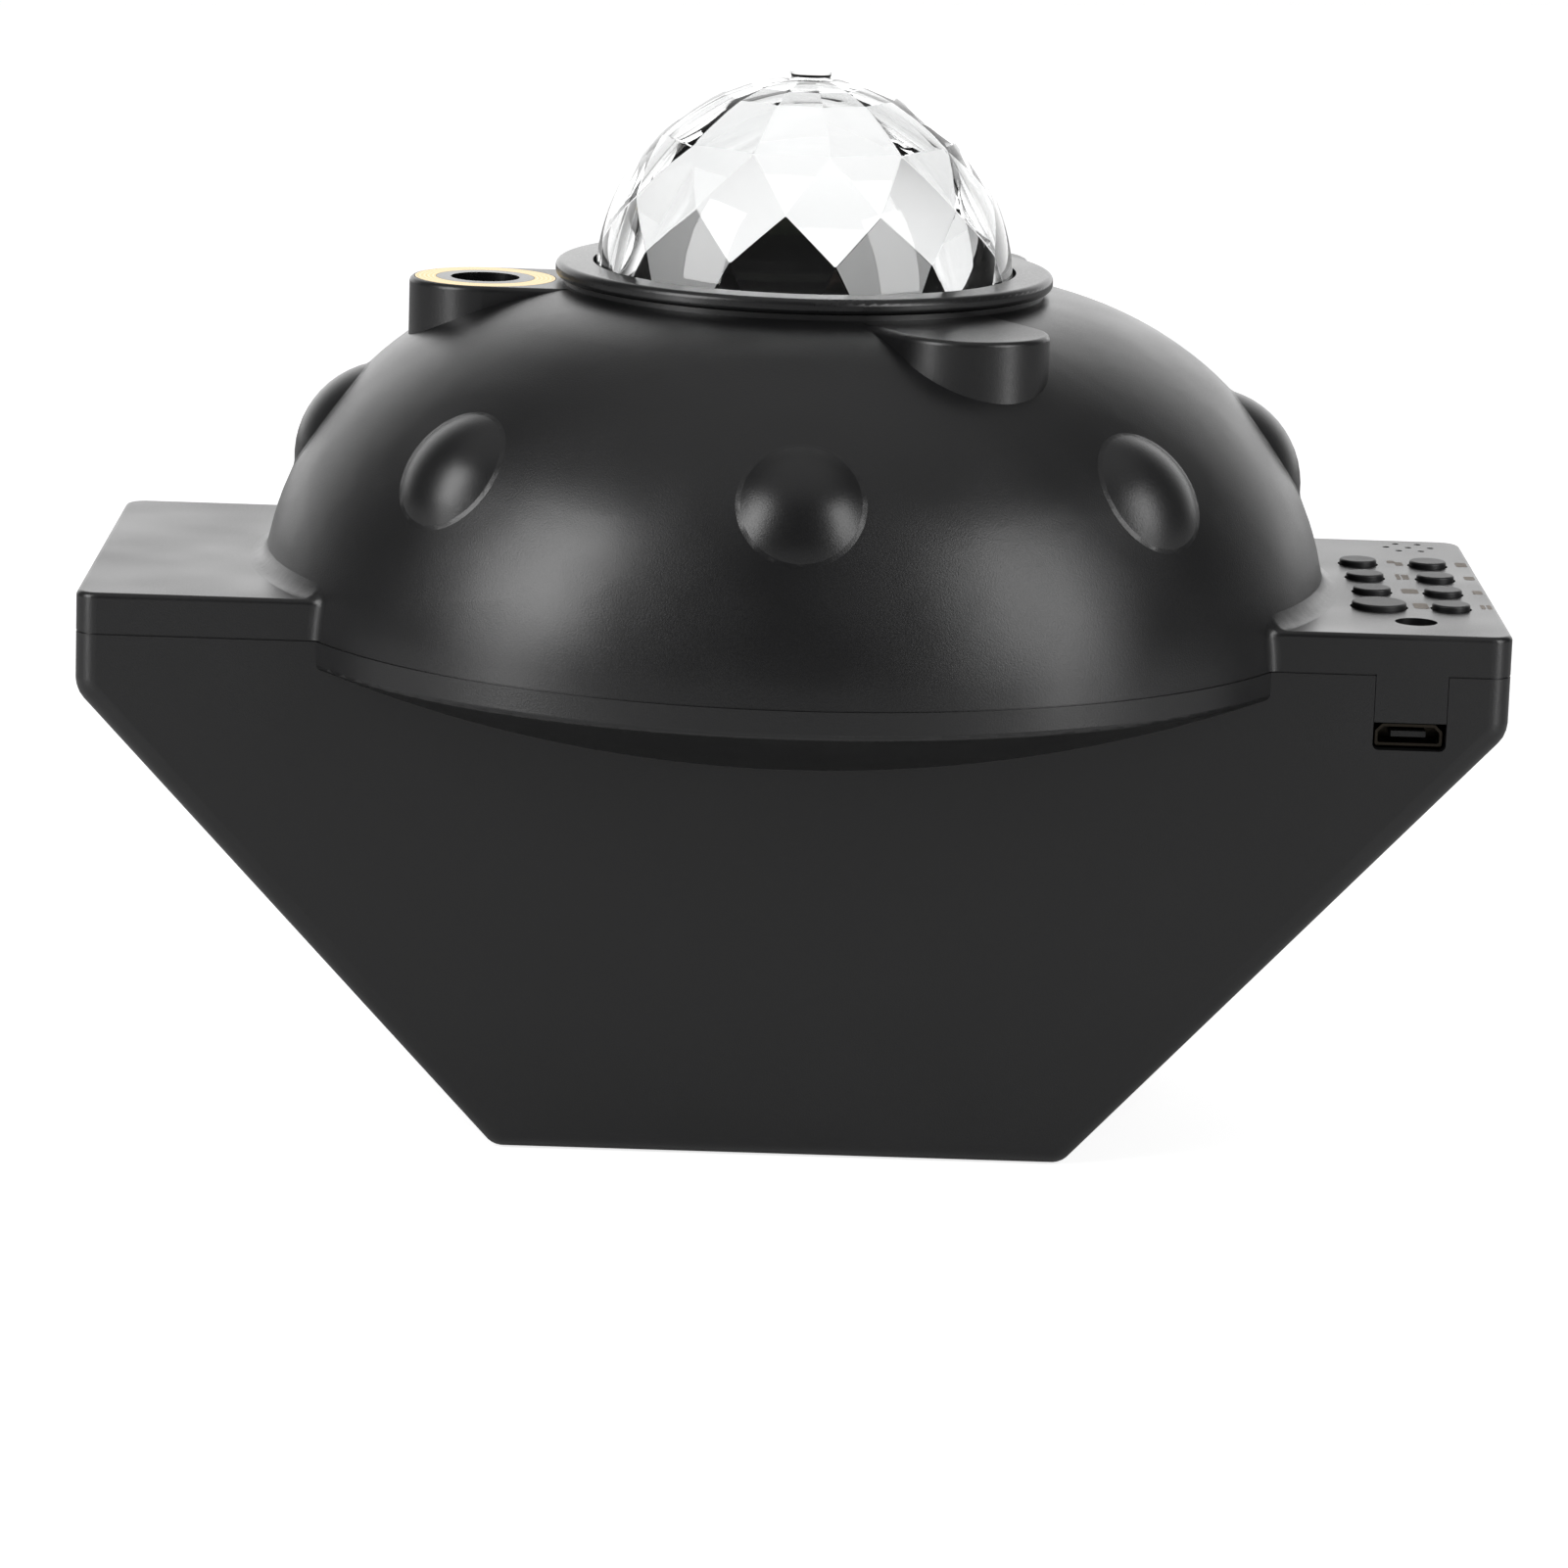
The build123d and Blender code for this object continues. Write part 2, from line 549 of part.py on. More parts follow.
def ring_point(elevation, azimuth, scale=1.0):
    """A facet corner on the ball inside the clear dome, or a little inside it."""
    rho = CRYSTAL_IN_R * scale * cos(radians(elevation))
    x, y = polar(rho, azimuth)
    return Vector(x, y, CRYSTAL_CENTRE_Z + CRYSTAL_IN_R * sin(radians(elevation)))


def facet_scales():
    """How far in the apex and base corners lie, so that every facet is flat."""
    half = radians(180 / FACETS_ROUND)
    valley = (cos(radians(VALLEY_ELEVATION)), sin(radians(VALLEY_ELEVATION)))
    crown = (cos(radians(CROWN_ELEVATION)), sin(radians(CROWN_ELEVATION)))
    apex_z = sin(radians(APEX_ELEVATION))
    share = (apex_z - valley[1]) / (crown[1] - valley[1])
    apex_rho = (valley[0] + share * (crown[0] - valley[0])) / cos(half)
    fall = (valley[0] * cos(half) - apex_rho) / (apex_z - valley[1])
    base_rho = valley[0] * cos(half) + fall * (valley[1] - sin(radians(BASE_ELEVATION)))
    base_rho /= cos(half - radians(VALLEY_SPREAD))
    return apex_rho / cos(radians(APEX_ELEVATION)), base_rho / cos(radians(BASE_ELEVATION))


def faceted_hollow():
    """The inside of the clear dome: rows of flat facets that climb from the rim to a small flat pole."""
    step = 360 / FACETS_ROUND
    apex_scale, base_scale = facet_scales()
    facets = []
    rim, pole = [], []
    for i in range(FACETS_ROUND):
        a = FACET_PHASE + step * i
        here, there, between = a, a + step, a + step / 2
        base_left = ring_point(BASE_ELEVATION, here - VALLEY_SPREAD, base_scale)
        base_right = ring_point(BASE_ELEVATION, here + VALLEY_SPREAD, base_scale)
        base_next = ring_point(BASE_ELEVATION, there - VALLEY_SPREAD, base_scale)
        valley = ring_point(VALLEY_ELEVATION, here)
        valley_next = ring_point(VALLEY_ELEVATION, there)
        apex = ring_point(APEX_ELEVATION, between, apex_scale)
        apex_before = ring_point(APEX_ELEVATION, between - step, apex_scale)
        crown, crown_next = ring_point(CROWN_ELEVATION, here), ring_point(CROWN_ELEVATION, there)
        upper, upper_next = ring_point(UPPER_ELEVATION, here), ring_point(UPPER_ELEVATION, there)
        top, top_next = ring_point(POLE_ELEVATION, here), ring_point(POLE_ELEVATION, there)
        facets.append([base_left, base_right, valley])
        facets.append([base_right, base_next, valley_next, apex, valley])
        facets.append([valley, apex, crown, apex_before])
        facets.append([apex, crown_next, crown])
        facets.append([crown, crown_next, upper_next, upper])
        facets.append([upper, upper_next, top_next, top])
        rim += [base_left, base_right]
        pole.append(top)
    facets += [rim, pole]
    faces = [Face(Wire.make_polygon(corners, close=True)) for corners in facets]
    return Solid(Shell(faces))


def crystal_dome():
    """Clear dome, smooth outside and faceted inside, with a flange that is trapped under the collar."""
    pole_z = CRYSTAL_CENTRE_Z + CRYSTAL_R
    arc = CenterArc((0, CRYSTAL_CENTRE_Z), CRYSTAL_R, 0, 90)
    flange = [(FLANGE_R, FLANGE_BOTTOM_Z), (FLANGE_R, FLANGE_TOP_Z), (CRYSTAL_R, FLANGE_TOP_Z)]
    walls = Polyline((0, pole_z), (0, FLANGE_BOTTOM_Z), *flange, (CRYSTAL_R, CRYSTAL_CENTRE_Z))
    body = revolve(Plane.XZ * make_face([arc, walls]), Axis.Z)
    body += rod(NUB_R, pole_z - CRYSTAL_WALL / 2, pole_z + NUB_HEIGHT)
    facets_low = CRYSTAL_CENTRE_Z + CRYSTAL_IN_R * sin(radians(BASE_ELEVATION))
    return body - faceted_hollow() - rod(CRYSTAL_IN_R, FLANGE_BOTTOM_Z, facets_low)


def gear(teeth, low, high, phase):
    """A spur gear blank with straight-flanked teeth, one tooth centred on the angle phase."""
    pitch_r = teeth * GEAR_MODULE / 2
    root_r = pitch_r - DEDENDUM * GEAR_MODULE
    tip_r = pitch_r + ADDENDUM * GEAR_MODULE
    half = pi * GEAR_MODULE / 4 - TOOTH_BACKLASH / 2
    lean = tan(radians(PRESSURE_ANGLE))
    root_half = half + (pitch_r - root_r) * lean
    tip_half = half - (tip_r - pitch_r) * lean
    inner_r = root_r - GEAR_MODULE / 4
    corners = [(inner_r, -root_half), (tip_r, -tip_half), (tip_r, tip_half), (inner_r, root_half)]
    tooth = make_face(Polyline(*corners, close=True))
    plan = Circle(root_r) + [Rot(0, 0, phase + 360 / teeth * i) * tooth for i in range(teeth)]
    return extrude(Pos(0, 0, low) * plan, high - low)


def dome_ring_gear():
    """Toothed ring that turns on the deck's hub, with a carrier disc under the clear dome's flange."""
    toothed = gear(RING_TEETH, GEAR_BOTTOM_Z, GEAR_TOP_Z, 90 + 180 / RING_TEETH)
    ring = toothed + rod(RING_ROOT_R, GEAR_TOP_Z, FLANGE_BOTTOM_Z)
    ring += rod(FLANGE_R, GEAR_TOP_Z + RUN_GAP, FLANGE_BOTTOM_Z)
    return ring - rod(RING_BORE_R, GEAR_BOTTOM_Z, FLANGE_BOTTOM_Z)


def drive_pinion():
    """Motor pinion in mesh with the dome's ring."""
    pinion = Pos(0, MOTOR_RHO, 0) * gear(PINION_TEETH, GEAR_BOTTOM_Z, GEAR_TOP_Z, -90)
    return pinion - rod(MOTOR_SHAFT_R + FIT_GAP / 4, GEAR_BOTTOM_Z, GEAR_TOP_Z, 0, MOTOR_RHO)


def motor_shaft():
    """Shaft that carries the pinion."""
    return rod(MOTOR_SHAFT_R, DECK_BOTTOM_Z - SHAFT_SEAT + RUN_GAP, GEAR_TOP_Z, 0, MOTOR_RHO)


def motor_ears():
    """Plan points of the motor's two screws."""
    return [(side * MOTOR_EAR_PITCH / 2, MOTOR_RHO) for side in (-1, 1)]


def drive_motor():
    """Geared motor: a stepped can under a plate with two ears."""
    can_top = DECK_BOTTOM_Z - MOTOR_PLATE
    gearbox_z = can_top - GEARBOX_LENGTH
    body = rod(MOTOR_R, gearbox_z, can_top, 0, MOTOR_RHO)
    body += rod(MOTOR_CAN_R, can_top - MOTOR_LENGTH, gearbox_z, 0, MOTOR_RHO)
    ear = SlotCenterToCenter(MOTOR_EAR_PITCH, MOTOR_EAR_WIDTH)
    body += Pos(0, MOTOR_RHO, can_top) * extrude(ear, MOTOR_PLATE)
    for x, y in motor_ears():
        body -= rod(SMALL_SCREW_R + FIT_GAP, can_top, DECK_BOTTOM_Z, x, y)
    return body - rod(MOTOR_SHAFT_R + RUN_FIT, DECK_BOTTOM_Z - SHAFT_SEAT, DECK_BOTTOM_Z, 0, MOTOR_RHO)


def drive_deck():
    """Inner frame: a plate with the hub that the ring gear turns on, notched for the laser."""
    deck = rod(DECK_R, DECK_BOTTOM_Z, DECK_TOP_Z)
    deck += rod(HUB_R + LEDGE_WIDTH, DECK_TOP_Z, LEDGE_Z) + rod(HUB_R, DECK_TOP_Z, HUB_TOP_Z)
    deck -= rod(HUB_IN_R, DECK_TOP_Z, HUB_TOP_Z) + rod(SINK_PEDESTAL_R + FIT_GAP, DECK_BOTTOM_Z, DECK_TOP_Z)
    notch_r = BARREL_R + RUN_GAP
    notch = Pos(BOSS_RHO, 0) * Circle(notch_r)
    notch += Pos(BOSS_RHO + notch_r, 0) * Rectangle(2 * notch_r, 2 * notch_r)
    deck -= Rot(0, 0, BOSS_ANGLES[0]) * extrude(Pos(0, 0, DECK_BOTTOM_Z) * notch, DECK_THICKNESS)
    deck -= rod(2 * MOTOR_SHAFT_R, DECK_BOTTOM_Z, DECK_TOP_Z, 0, MOTOR_RHO)
    for x, y in deck_posts():
        deck -= rod(DECK_SCREW_R + FIT_GAP, DECK_BOTTOM_Z, DECK_TOP_Z, x, y)
    for x, y in motor_ears():
        deck -= rod(SMALL_SCREW_R + FIT_GAP / 2, DECK_BOTTOM_Z, DECK_TOP_Z, x, y)
    return deck


def led_board():
    """Round light board inside the hub."""
    return rod(LED_BOARD_R, DECK_TOP_Z, DECK_TOP_Z + LED_BOARD_THICKNESS)


def led_emitters():
    """Four square emitters, one for each colour."""
    low = DECK_TOP_Z + LED_BOARD_THICKNESS
    half = LED_PITCH / 2
    emitter = slab(LED_SIZE, LED_SIZE, low, low + LED_HEIGHT)
    emitter = fillet(emitter.faces().sort_by(Axis.Z)[-1].edges(), LED_EDGE_R)
    return [Pos(sx * half, sy * half, 0) * emitter for sx in (-1, 1) for sy in (-1, 1)]


def heat_sink():
    """Finned sink under the deck, its pedestal against the light board."""
    plate_low = DECK_BOTTOM_Z - SINK_PLATE
    body = rod(SINK_R, plate_low, DECK_BOTTOM_Z) + rod(SINK_PEDESTAL_R, DECK_BOTTOM_Z, DECK_TOP_Z)
    pitch = (2 * SINK_R - 4 * FIN_THICKNESS) / (FIN_COUNT - 1)
    for i in range(FIN_COUNT):
        x = pitch * (i - (FIN_COUNT - 1) / 2)
        length = 2 * sqrt((SINK_R - FIN_THICKNESS) ** 2 - x ** 2)
        body += slab(FIN_THICKNESS, length, plate_low - FIN_HEIGHT, plate_low, x)
    return body


def laser_pieces():
    """Trim ring, sleeve, barrel, lens and driver board, stacked in the laser boss."""
    x, y = polar(BOSS_RHO, BOSS_ANGLES[0])
    ring = tube(TRIM_RING_R, TRIM_RING_HOLE_R, BOSS_TOP_Z - TRIM_RING_THICKNESS, BOSS_TOP_Z, x, y)
    sleeve = tube(TRIM_RING_HOLE_R - FIT_GAP / 2, SLEEVE_BORE_R, SLEEVE_BOTTOM_Z, BOSS_TOP_Z, x, y)
    barrel = rod(BARREL_R, BARREL_BOTTOM_Z, SLEEVE_BOTTOM_Z, x, y)
    barrel -= rod(LENS_R + FIT_GAP, SLEEVE_BOTTOM_Z - LENS_DEPTH, SLEEVE_BOTTOM_Z, x, y)
    lens_low = SLEEVE_BOTTOM_Z - LENS_DEPTH
    lens = rod(LENS_R, lens_low, lens_low + LENS_THICKNESS, x, y)
    board = rod(LASER_BOARD_R, BARREL_BOTTOM_Z - LASER_BOARD_THICKNESS, BARREL_BOTTOM_Z, x, y)
    return {"laser_trim_ring": ring, "laser_sleeve": sleeve, "laser_barrel": barrel, "laser_lens": lens,
            "laser_board": board}


def button_cap(x, y, radius):
    """A round cap through the wing, kept in by a flange, with a foot that stands on its switch."""
    flange_top = WING_UNDER_Z - RUN_GAP
    flange_low = flange_top - BUTTON_FLANGE_T
    cap = rod(radius, flange_top, WING_TOP_Z + BUTTON_PROUD, x, y)
    cap = fillet(cap.edges().group_by(Axis.Z)[-1], BUTTON_EDGE_R)
    foot_low = BOARD_TOP_Z + SWITCH_HEIGHT + PLUNGER_PROUD
    flange = rod(radius + BUTTON_FLANGE, flange_low, flange_top, x, y)
    return cap + flange + rod(PLUNGER_R, foot_low, flange_low, x, y)


def plunger(x, y):
    """The switch's own stem, under the button."""
    top = BOARD_TOP_Z + SWITCH_HEIGHT + PLUNGER_PROUD
    return rod(PLUNGER_R, top - PLUNGER_LENGTH, top, x, y)


def tact_switches():
    """One square switch body under each button, bored for its stem."""
    top = BOARD_TOP_Z + SWITCH_HEIGHT
    bore_low = top + PLUNGER_PROUD - PLUNGER_LENGTH - BUTTON_TRAVEL - RUN_GAP
    bodies = []
    for _, x, y, _ in button_places():
        body = slab(SWITCH_SIZE, SWITCH_SIZE, BOARD_TOP_Z, top, x, y)
        bodies.append(body - rod(PLUNGER_R + RUN_FIT, bore_low, top, x, y))
    return bodies


def control_board():
    """Circuit board under the button wing."""
    middle_x = (BOARD_INNER_X + BOARD_OUTER_X) / 2
    board = slab(BOARD_WIDTH, 2 * BOARD_HALF_Y, BOARD_BOTTOM_Z, BOARD_TOP_Z, middle_x)
    for side in (-1, 1):
        board -= rod(SMALL_SCREW_R + FIT_GAP, BOARD_BOTTOM_Z, BOARD_TOP_Z, BOARD_POST_X, side * BOARD_POST_Y)
    return board


def wing_pieces():
    """Window, receiver, microphone and radio of the button wing."""
    window_top = WING_TOP_Z - IR_RECESS
    window = rod(IR_R, window_top - IR_THICKNESS, window_top, IR_X, IR_Y)
    receiver = slab(RECEIVER_SIZE, RECEIVER_SIZE, BOARD_TOP_Z, BOARD_TOP_Z + RECEIVER_HEIGHT, IR_X, IR_Y)
    receiver += Pos(IR_X, IR_Y, BOARD_TOP_Z + RECEIVER_HEIGHT) * Sphere(RECEIVER_LENS_R)
    microphone = rod(MIC_R, BOARD_TOP_Z, BOARD_TOP_Z + MIC_HEIGHT, MIC_X, MIC_Y)
    microphone = fillet(microphone.edges().group_by(Axis.Z)[-1], MIC_EDGE_R)
    radio = slab(RADIO_WIDTH, RADIO_LENGTH, BOARD_BOTTOM_Z - RADIO_HEIGHT, BOARD_BOTTOM_Z, INNER_COLUMN_X)
    return {"ir_window": window, "ir_receiver": receiver, "microphone": microphone, "bluetooth_module": radio}


def usb_outline(shrink):
    """The inlet's mouth: flat below, its two upper corners cut off."""
    width, height = USB_WIDTH - 2 * shrink, USB_HEIGHT - 2 * shrink
    cut = USB_CHAMFER - shrink / 2
    half_w, half_h = width / 2, height / 2
    right = [(half_w, -half_h), (half_w, half_h - cut), (half_w - cut, half_h)]
    left = [(-x, z) for x, z in reversed(right)]
    return fillet(make_face(Polyline(*right, *left, close=True)).vertices(), USB_CORNER_R)


def usb_pieces():
    """Sheet-metal shell and the contact tongue inside it."""
    front = Plane((USB_X, USB_FRONT_Y, USB_Z), x_dir=(1, 0, 0), z_dir=(0, -1, 0))
    shell = extrude(front * usb_outline(0), -USB_DEPTH)
    hollow = extrude(front * usb_outline(USB_METAL), -(USB_DEPTH - INSERT_BACK))
    back_y = USB_FRONT_Y + USB_DEPTH - INSERT_BACK
    length = USB_DEPTH - INSERT_BACK - INSERT_RECESS
    insert = Pos(USB_X, back_y - length / 2, USB_Z) * Box(INSERT_WIDTH, length, INSERT_HEIGHT)
    return {"usb_shell": shell - hollow, "usb_tongue": insert}


def screws():
    """Every group of like screws."""
    cover = [screw(SCREW_R, SEAT_Z, SEAM_Z + SCREW_GRIP - WALL, x, y) for x, y in corner_posts()]
    deck_tip = DECK_TOP_Z + DECK_SCREW_GRIP - RUN_GAP
    deck = [screw(DECK_SCREW_R, DECK_BOTTOM_Z, deck_tip, x, y) for x, y in deck_posts()]
    can_top = DECK_BOTTOM_Z - MOTOR_PLATE
    motor = [screw(SMALL_SCREW_R, can_top, DECK_TOP_Z - RUN_GAP, x, y) for x, y in motor_ears()]
    board_tip = BOARD_TOP_Z + BOARD_SCREW_GRIP - RUN_GAP
    board_ys = (-BOARD_POST_Y, BOARD_POST_Y)
    board = [screw(SMALL_SCREW_R, BOARD_BOTTOM_Z, board_tip, BOARD_POST_X, y) for y in board_ys]
    upright = screw(SMALL_SCREW_R, 0, SPEAKER_FLANGE + GASKET_THICKNESS - RUN_GAP, 0, 0)
    speaker = [Pos(x, SPEAKER_BACK_Y, z) * Rot(-90, 0, 0) * upright for x, z in speaker_holes()]
    return {"cover_screws": cover, "deck_screws": deck, "motor_screws": motor, "board_screws": board,
            "speaker_screws": speaker}


def speaker_pieces():
    """A small full-range speaker behind the back wall: gasket, frame, cone and magnet."""
    facing = Plane((0, SPEAKER_SEAT_Y, SPEAKER_Z), x_dir=(1, 0, 0), z_dir=(0, -1, 0))
    plate = RectangleRounded(SPEAKER_SIZE, SPEAKER_SIZE, SPEAKER_CORNER_R)
    frame = extrude(facing * plate, SPEAKER_FLANGE)
    basket_back = SPEAKER_BACK_Y - SPEAKER_BASKET_DEPTH
    ring = SPEAKER_MOUTH_R + CONE_THICKNESS + WALL / 2
    basket = Cone(MAGNET_R, ring, SPEAKER_BASKET_DEPTH, align=(Align.CENTER, Align.CENTER, Align.MIN))
    frame += Pos(0, basket_back, SPEAKER_Z) * Rot(-90, 0, 0) * basket
    frame -= cone_room()
    for x, z in speaker_holes():
        frame -= along_y(SMALL_SCREW_R + FIT_GAP, SPEAKER_BACK_Y, SPEAKER_SEAT_Y, x, z)
    magnet = along_y(MAGNET_R, basket_back - MAGNET_HEIGHT, basket_back, 0, SPEAKER_Z)
    gasket = along_y(GASKET_R, SPEAKER_SEAT_Y, INNER_Y, 0, SPEAKER_Z)
    gasket -= along_y(SPEAKER_MOUTH_R, SPEAKER_SEAT_Y, INNER_Y, 0, SPEAKER_Z)
    return {"speaker_frame": frame, "speaker_cone": speaker_cone(), "speaker_magnet": magnet,
            "speaker_gasket": gasket}


def speaker_spin(profile):
    """A half section, radius against depth from the seat, turned about the speaker's axis."""
    section = Plane((0, SPEAKER_SEAT_Y, SPEAKER_Z), x_dir=(1, 0, 0), z_dir=(0, 0, 1))
    return revolve(section * profile, Axis((0, SPEAKER_SEAT_Y, SPEAKER_Z), (0, 1, 0)))


def cone_room():
    """The hollow of the frame that the cone lies in."""
    back = -CONE_DEPTH - CONE_THICKNESS
    mouth = [(0, 0), (SPEAKER_MOUTH_R, 0), (SPEAKER_MOUTH_R, -2 * CONE_THICKNESS)]
    return speaker_spin(make_face(Polyline(*mouth, (DUST_CAP_R, back), (0, back), close=True)))


def speaker_cone():
    """Thin paper cone with a domed dust cap."""
    back = -CONE_DEPTH - CONE_THICKNESS
    cap_top = -CONE_DEPTH + DUST_CAP_HEIGHT
    cap_r = (DUST_CAP_R ** 2 + DUST_CAP_HEIGHT ** 2) / (2 * DUST_CAP_HEIGHT)
    cap = RadiusArc((0, cap_top), (DUST_CAP_R, -CONE_DEPTH), cap_r)
    rim = [(SPEAKER_MOUTH_R, -CONE_THICKNESS), (SPEAKER_MOUTH_R, -2 * CONE_THICKNESS)]
    edges = Polyline((DUST_CAP_R, -CONE_DEPTH), *rim, (DUST_CAP_R, back), (0, back), (0, cap_top))
    return speaker_spin(make_face([cap, edges]))


def all_pieces():
    """Every piece under its own name."""
    pieces = {
        "base_shell": base_shell(), "top_cover": top_cover(), "dome_bezel": dome_bezel(),
        "crystal_dome": crystal_dome(), "dome_ring_gear": dome_ring_gear(), "drive_pinion": drive_pinion(),
        "motor_shaft": motor_shaft(), "drive_motor": drive_motor(), "drive_deck": drive_deck(),
        "led_board": led_board(), "led_emitters": led_emitters(), "heat_sink": heat_sink(),
        "tact_switches": tact_switches(), "control_board": control_board(),
    }
    pieces.update(laser_pieces())
    pieces.update(wing_pieces())
    pieces.update(usb_pieces())
    pieces.update(speaker_pieces())
    pieces.update(screws())
    for name, x, y, radius in button_places():
        pieces[name] = button_cap(x, y, radius)
        pieces[name.replace("button", "plunger")] = plunger(x, y)
    return pieces


def main():
    os.makedirs("parts", exist_ok=True)
    for name, shape in all_pieces().items():
        solids = Compound(children=list(shape)) if isinstance(shape, list) else shape
        export_step(solids, f"parts/{name}.step")


main()
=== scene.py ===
from math import asin, atan2, cos, degrees, pi, radians, sin

import bmesh
import bpy
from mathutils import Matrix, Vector


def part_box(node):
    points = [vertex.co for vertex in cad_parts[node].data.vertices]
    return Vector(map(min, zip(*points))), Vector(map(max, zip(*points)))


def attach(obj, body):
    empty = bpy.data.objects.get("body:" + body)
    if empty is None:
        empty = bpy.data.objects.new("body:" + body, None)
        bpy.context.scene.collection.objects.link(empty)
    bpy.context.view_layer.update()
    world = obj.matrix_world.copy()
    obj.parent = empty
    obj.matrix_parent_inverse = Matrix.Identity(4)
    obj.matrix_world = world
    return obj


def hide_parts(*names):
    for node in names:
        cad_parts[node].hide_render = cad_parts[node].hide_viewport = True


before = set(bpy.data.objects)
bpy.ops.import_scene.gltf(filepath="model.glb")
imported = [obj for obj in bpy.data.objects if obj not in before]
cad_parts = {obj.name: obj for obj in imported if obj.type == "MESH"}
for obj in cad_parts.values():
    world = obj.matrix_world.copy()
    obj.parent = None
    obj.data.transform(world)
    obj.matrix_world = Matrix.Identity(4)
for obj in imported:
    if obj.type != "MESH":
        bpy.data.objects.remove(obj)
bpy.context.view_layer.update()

# A table-top light projector in black ABS, with a clear dome that is faceted inside.
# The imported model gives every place. Lengths are in millimetres, which MM turns to metres.
# Angles are in degrees.
MM = 0.001

# Camera, at the photograph's place and angle
CAMERA_PLACE = (-7.346, -747.683, 196.431)
CAMERA_TURN = (77.9305, -1.8984, -0.1303)
CAMERA_LENS = 150.81
CAMERA_SENSOR = 36.0
CAMERA_NEAR = 10.0
CAMERA_FAR = 20000.0

# Room: levels of light behind, in front and overhead; each band is where one level gives way to the next
BACK_LEVEL = 1.85
BACK_BAND = (0.5, 0.97)
FRONT_LEVEL = 0.09
OVERHEAD_SHARE = 0.22
OVERHEAD_BAND = (0.3, 0.9)
ZENITH_LEVEL = 0.45
ZENITH_BAND = (0.7, 0.98)
SEEN_LEVEL = 1.2

# Soft boxes: a large one on each side, with a small low one under it
SOFT_BOXES = {
    "left_soft_box": {"place": (-545.0, -340.0, 360.0), "size": (300.0, 480.0), "watts": 3.2},
    "right_soft_box": {"place": (511.0, -385.0, 340.0), "size": (300.0, 480.0), "watts": 2.4},
    "left_low_box": {"place": (-250.0, -165.0, 45.0), "size": (60.0, 70.0), "watts": 0.05},
    "right_low_box": {"place": (245.0, -175.0, 45.0), "size": (60.0, 70.0), "watts": 0.05},
}
LIGHT_AIM = (0.0, 0.0, 60.0)

# Floor: its lift is what brings the card to white for the camera, through the clear dome and in a gloss
FLOOR_REACH = 1500.0
FLOOR_DROP = 0.05
FLOOR_LIFT = 0.75
FLOOR_THROUGH_SHARE = 1.15
FLOOR_GLOSS_SHARE = 0.03
CARD_FIBRE = 30.0

# Patterns: sizes of what shows on a surface, and how far a pattern's values are spread
MELT_FLOW_GRAINS = 60.0
MELT_SPREAD = (0.1, 0.42)
ACRYLIC_FLOW = 9.0
TRACK_PITCH = 3.2
TRACK_SHARE = 0.06
ETCH_SIZE = 2.4
CHIP_GRAIN = 0.3
WAVE_RADIANS = 20.0  # Blender's wave texture runs through this angle for each unit of its scale
NO_BOUNCE = 0.5  # a count of bounces under this is none

# Clear dome
BALL_R = 23.93
DOME_WALL = 1.0
NUB_HEIGHT = 0.45
FACET_EDGE = 0.12
FACET_EDGE_STEPS = 3
CROWN_FROM = 65.0
CROWN_MARGIN = 0.5
CROWN_STEPS = 3
POLE = 90.0
FROSTED_BELOW = 17.0
FROSTED_AZIMUTH = -66.9
FROSTED_STEP = 60.0
FROSTED_SPREAD = 10.0
SAME_POINT = 0.001
FLAT_WITHIN = 0.5
SHARP_FROM = 30.0
MIRROR_BOUNCES = 12

# Ink beside the buttons: each mark is one or two rounded bars, given as x, y, length and width
BUTTON_PROUD = 0.65
INK_FILM = 0.02
MARK_OFFSET = (4.5, 1.3)
MARK_CORNER_SHARE = 0.25
MARK_CORNER_STEPS = 5
PRINTED_MARKS = {
    "button_inner_1": [(-0.45, 0.7, 0.9, 1.6), (0.4, -0.5, 0.9, 2.1)],
    "button_inner_2": [(-0.5, 0.0, 0.5, 3.4), (0.35, 0.0, 0.8, 3.0)],
    "button_inner_3": [(0.0, 0.0, 1.9, 2.8)],
    "button_power": [(0.4, 0.0, 1.7, 3.3)],
    "button_outer_1": [(-0.4, 0.2, 1.3, 2.6)],
    "button_outer_2": [(-0.35, 0.5, 1.2, 2.1)],
    "button_outer_3": [(-0.35, 0.5, 1.1, 2.1)],
    "button_outer_4": [(-0.7, 0.5, 0.5, 2.4), (0.05, 0.5, 0.5, 2.4)],
}


def linear(colour):
    """An sRGB hex colour as the linear RGBA that the shader sockets take."""
    channels = [int(colour[i:i + 2], 16) / 255 for i in (1, 3, 5)]
    return [c / 12.92 if c <= 0.04045 else ((c + 0.055) / 1.055) ** 2.4 for c in channels] + [1.0]


def add_node(tree, kind, settings, inputs):
    """Adds a node with its settings; each input is a plain value or another node's output."""
    made = tree.nodes.new("ShaderNode" + kind)
    for name, value in settings.items():
        setattr(made, name, value)
    for name, value in inputs.items():
        if isinstance(value, bpy.types.NodeSocket):
            tree.links.new(value, made.inputs[name])
        else:
            made.inputs[name].default_value = value
    return made


def per_mm(size):
    """The texture scale at which one feature of the pattern is that many millimetres wide."""
    return 1 / (size * MM)


def new_material(name):
    """A material with its node tree and the piece's own coordinates."""
    material = bpy.data.materials.new(name)
    material.use_nodes = True
    place = add_node(material.node_tree, "TexCoord", {}, {}).outputs["Object"]
    return material, material.node_tree, place


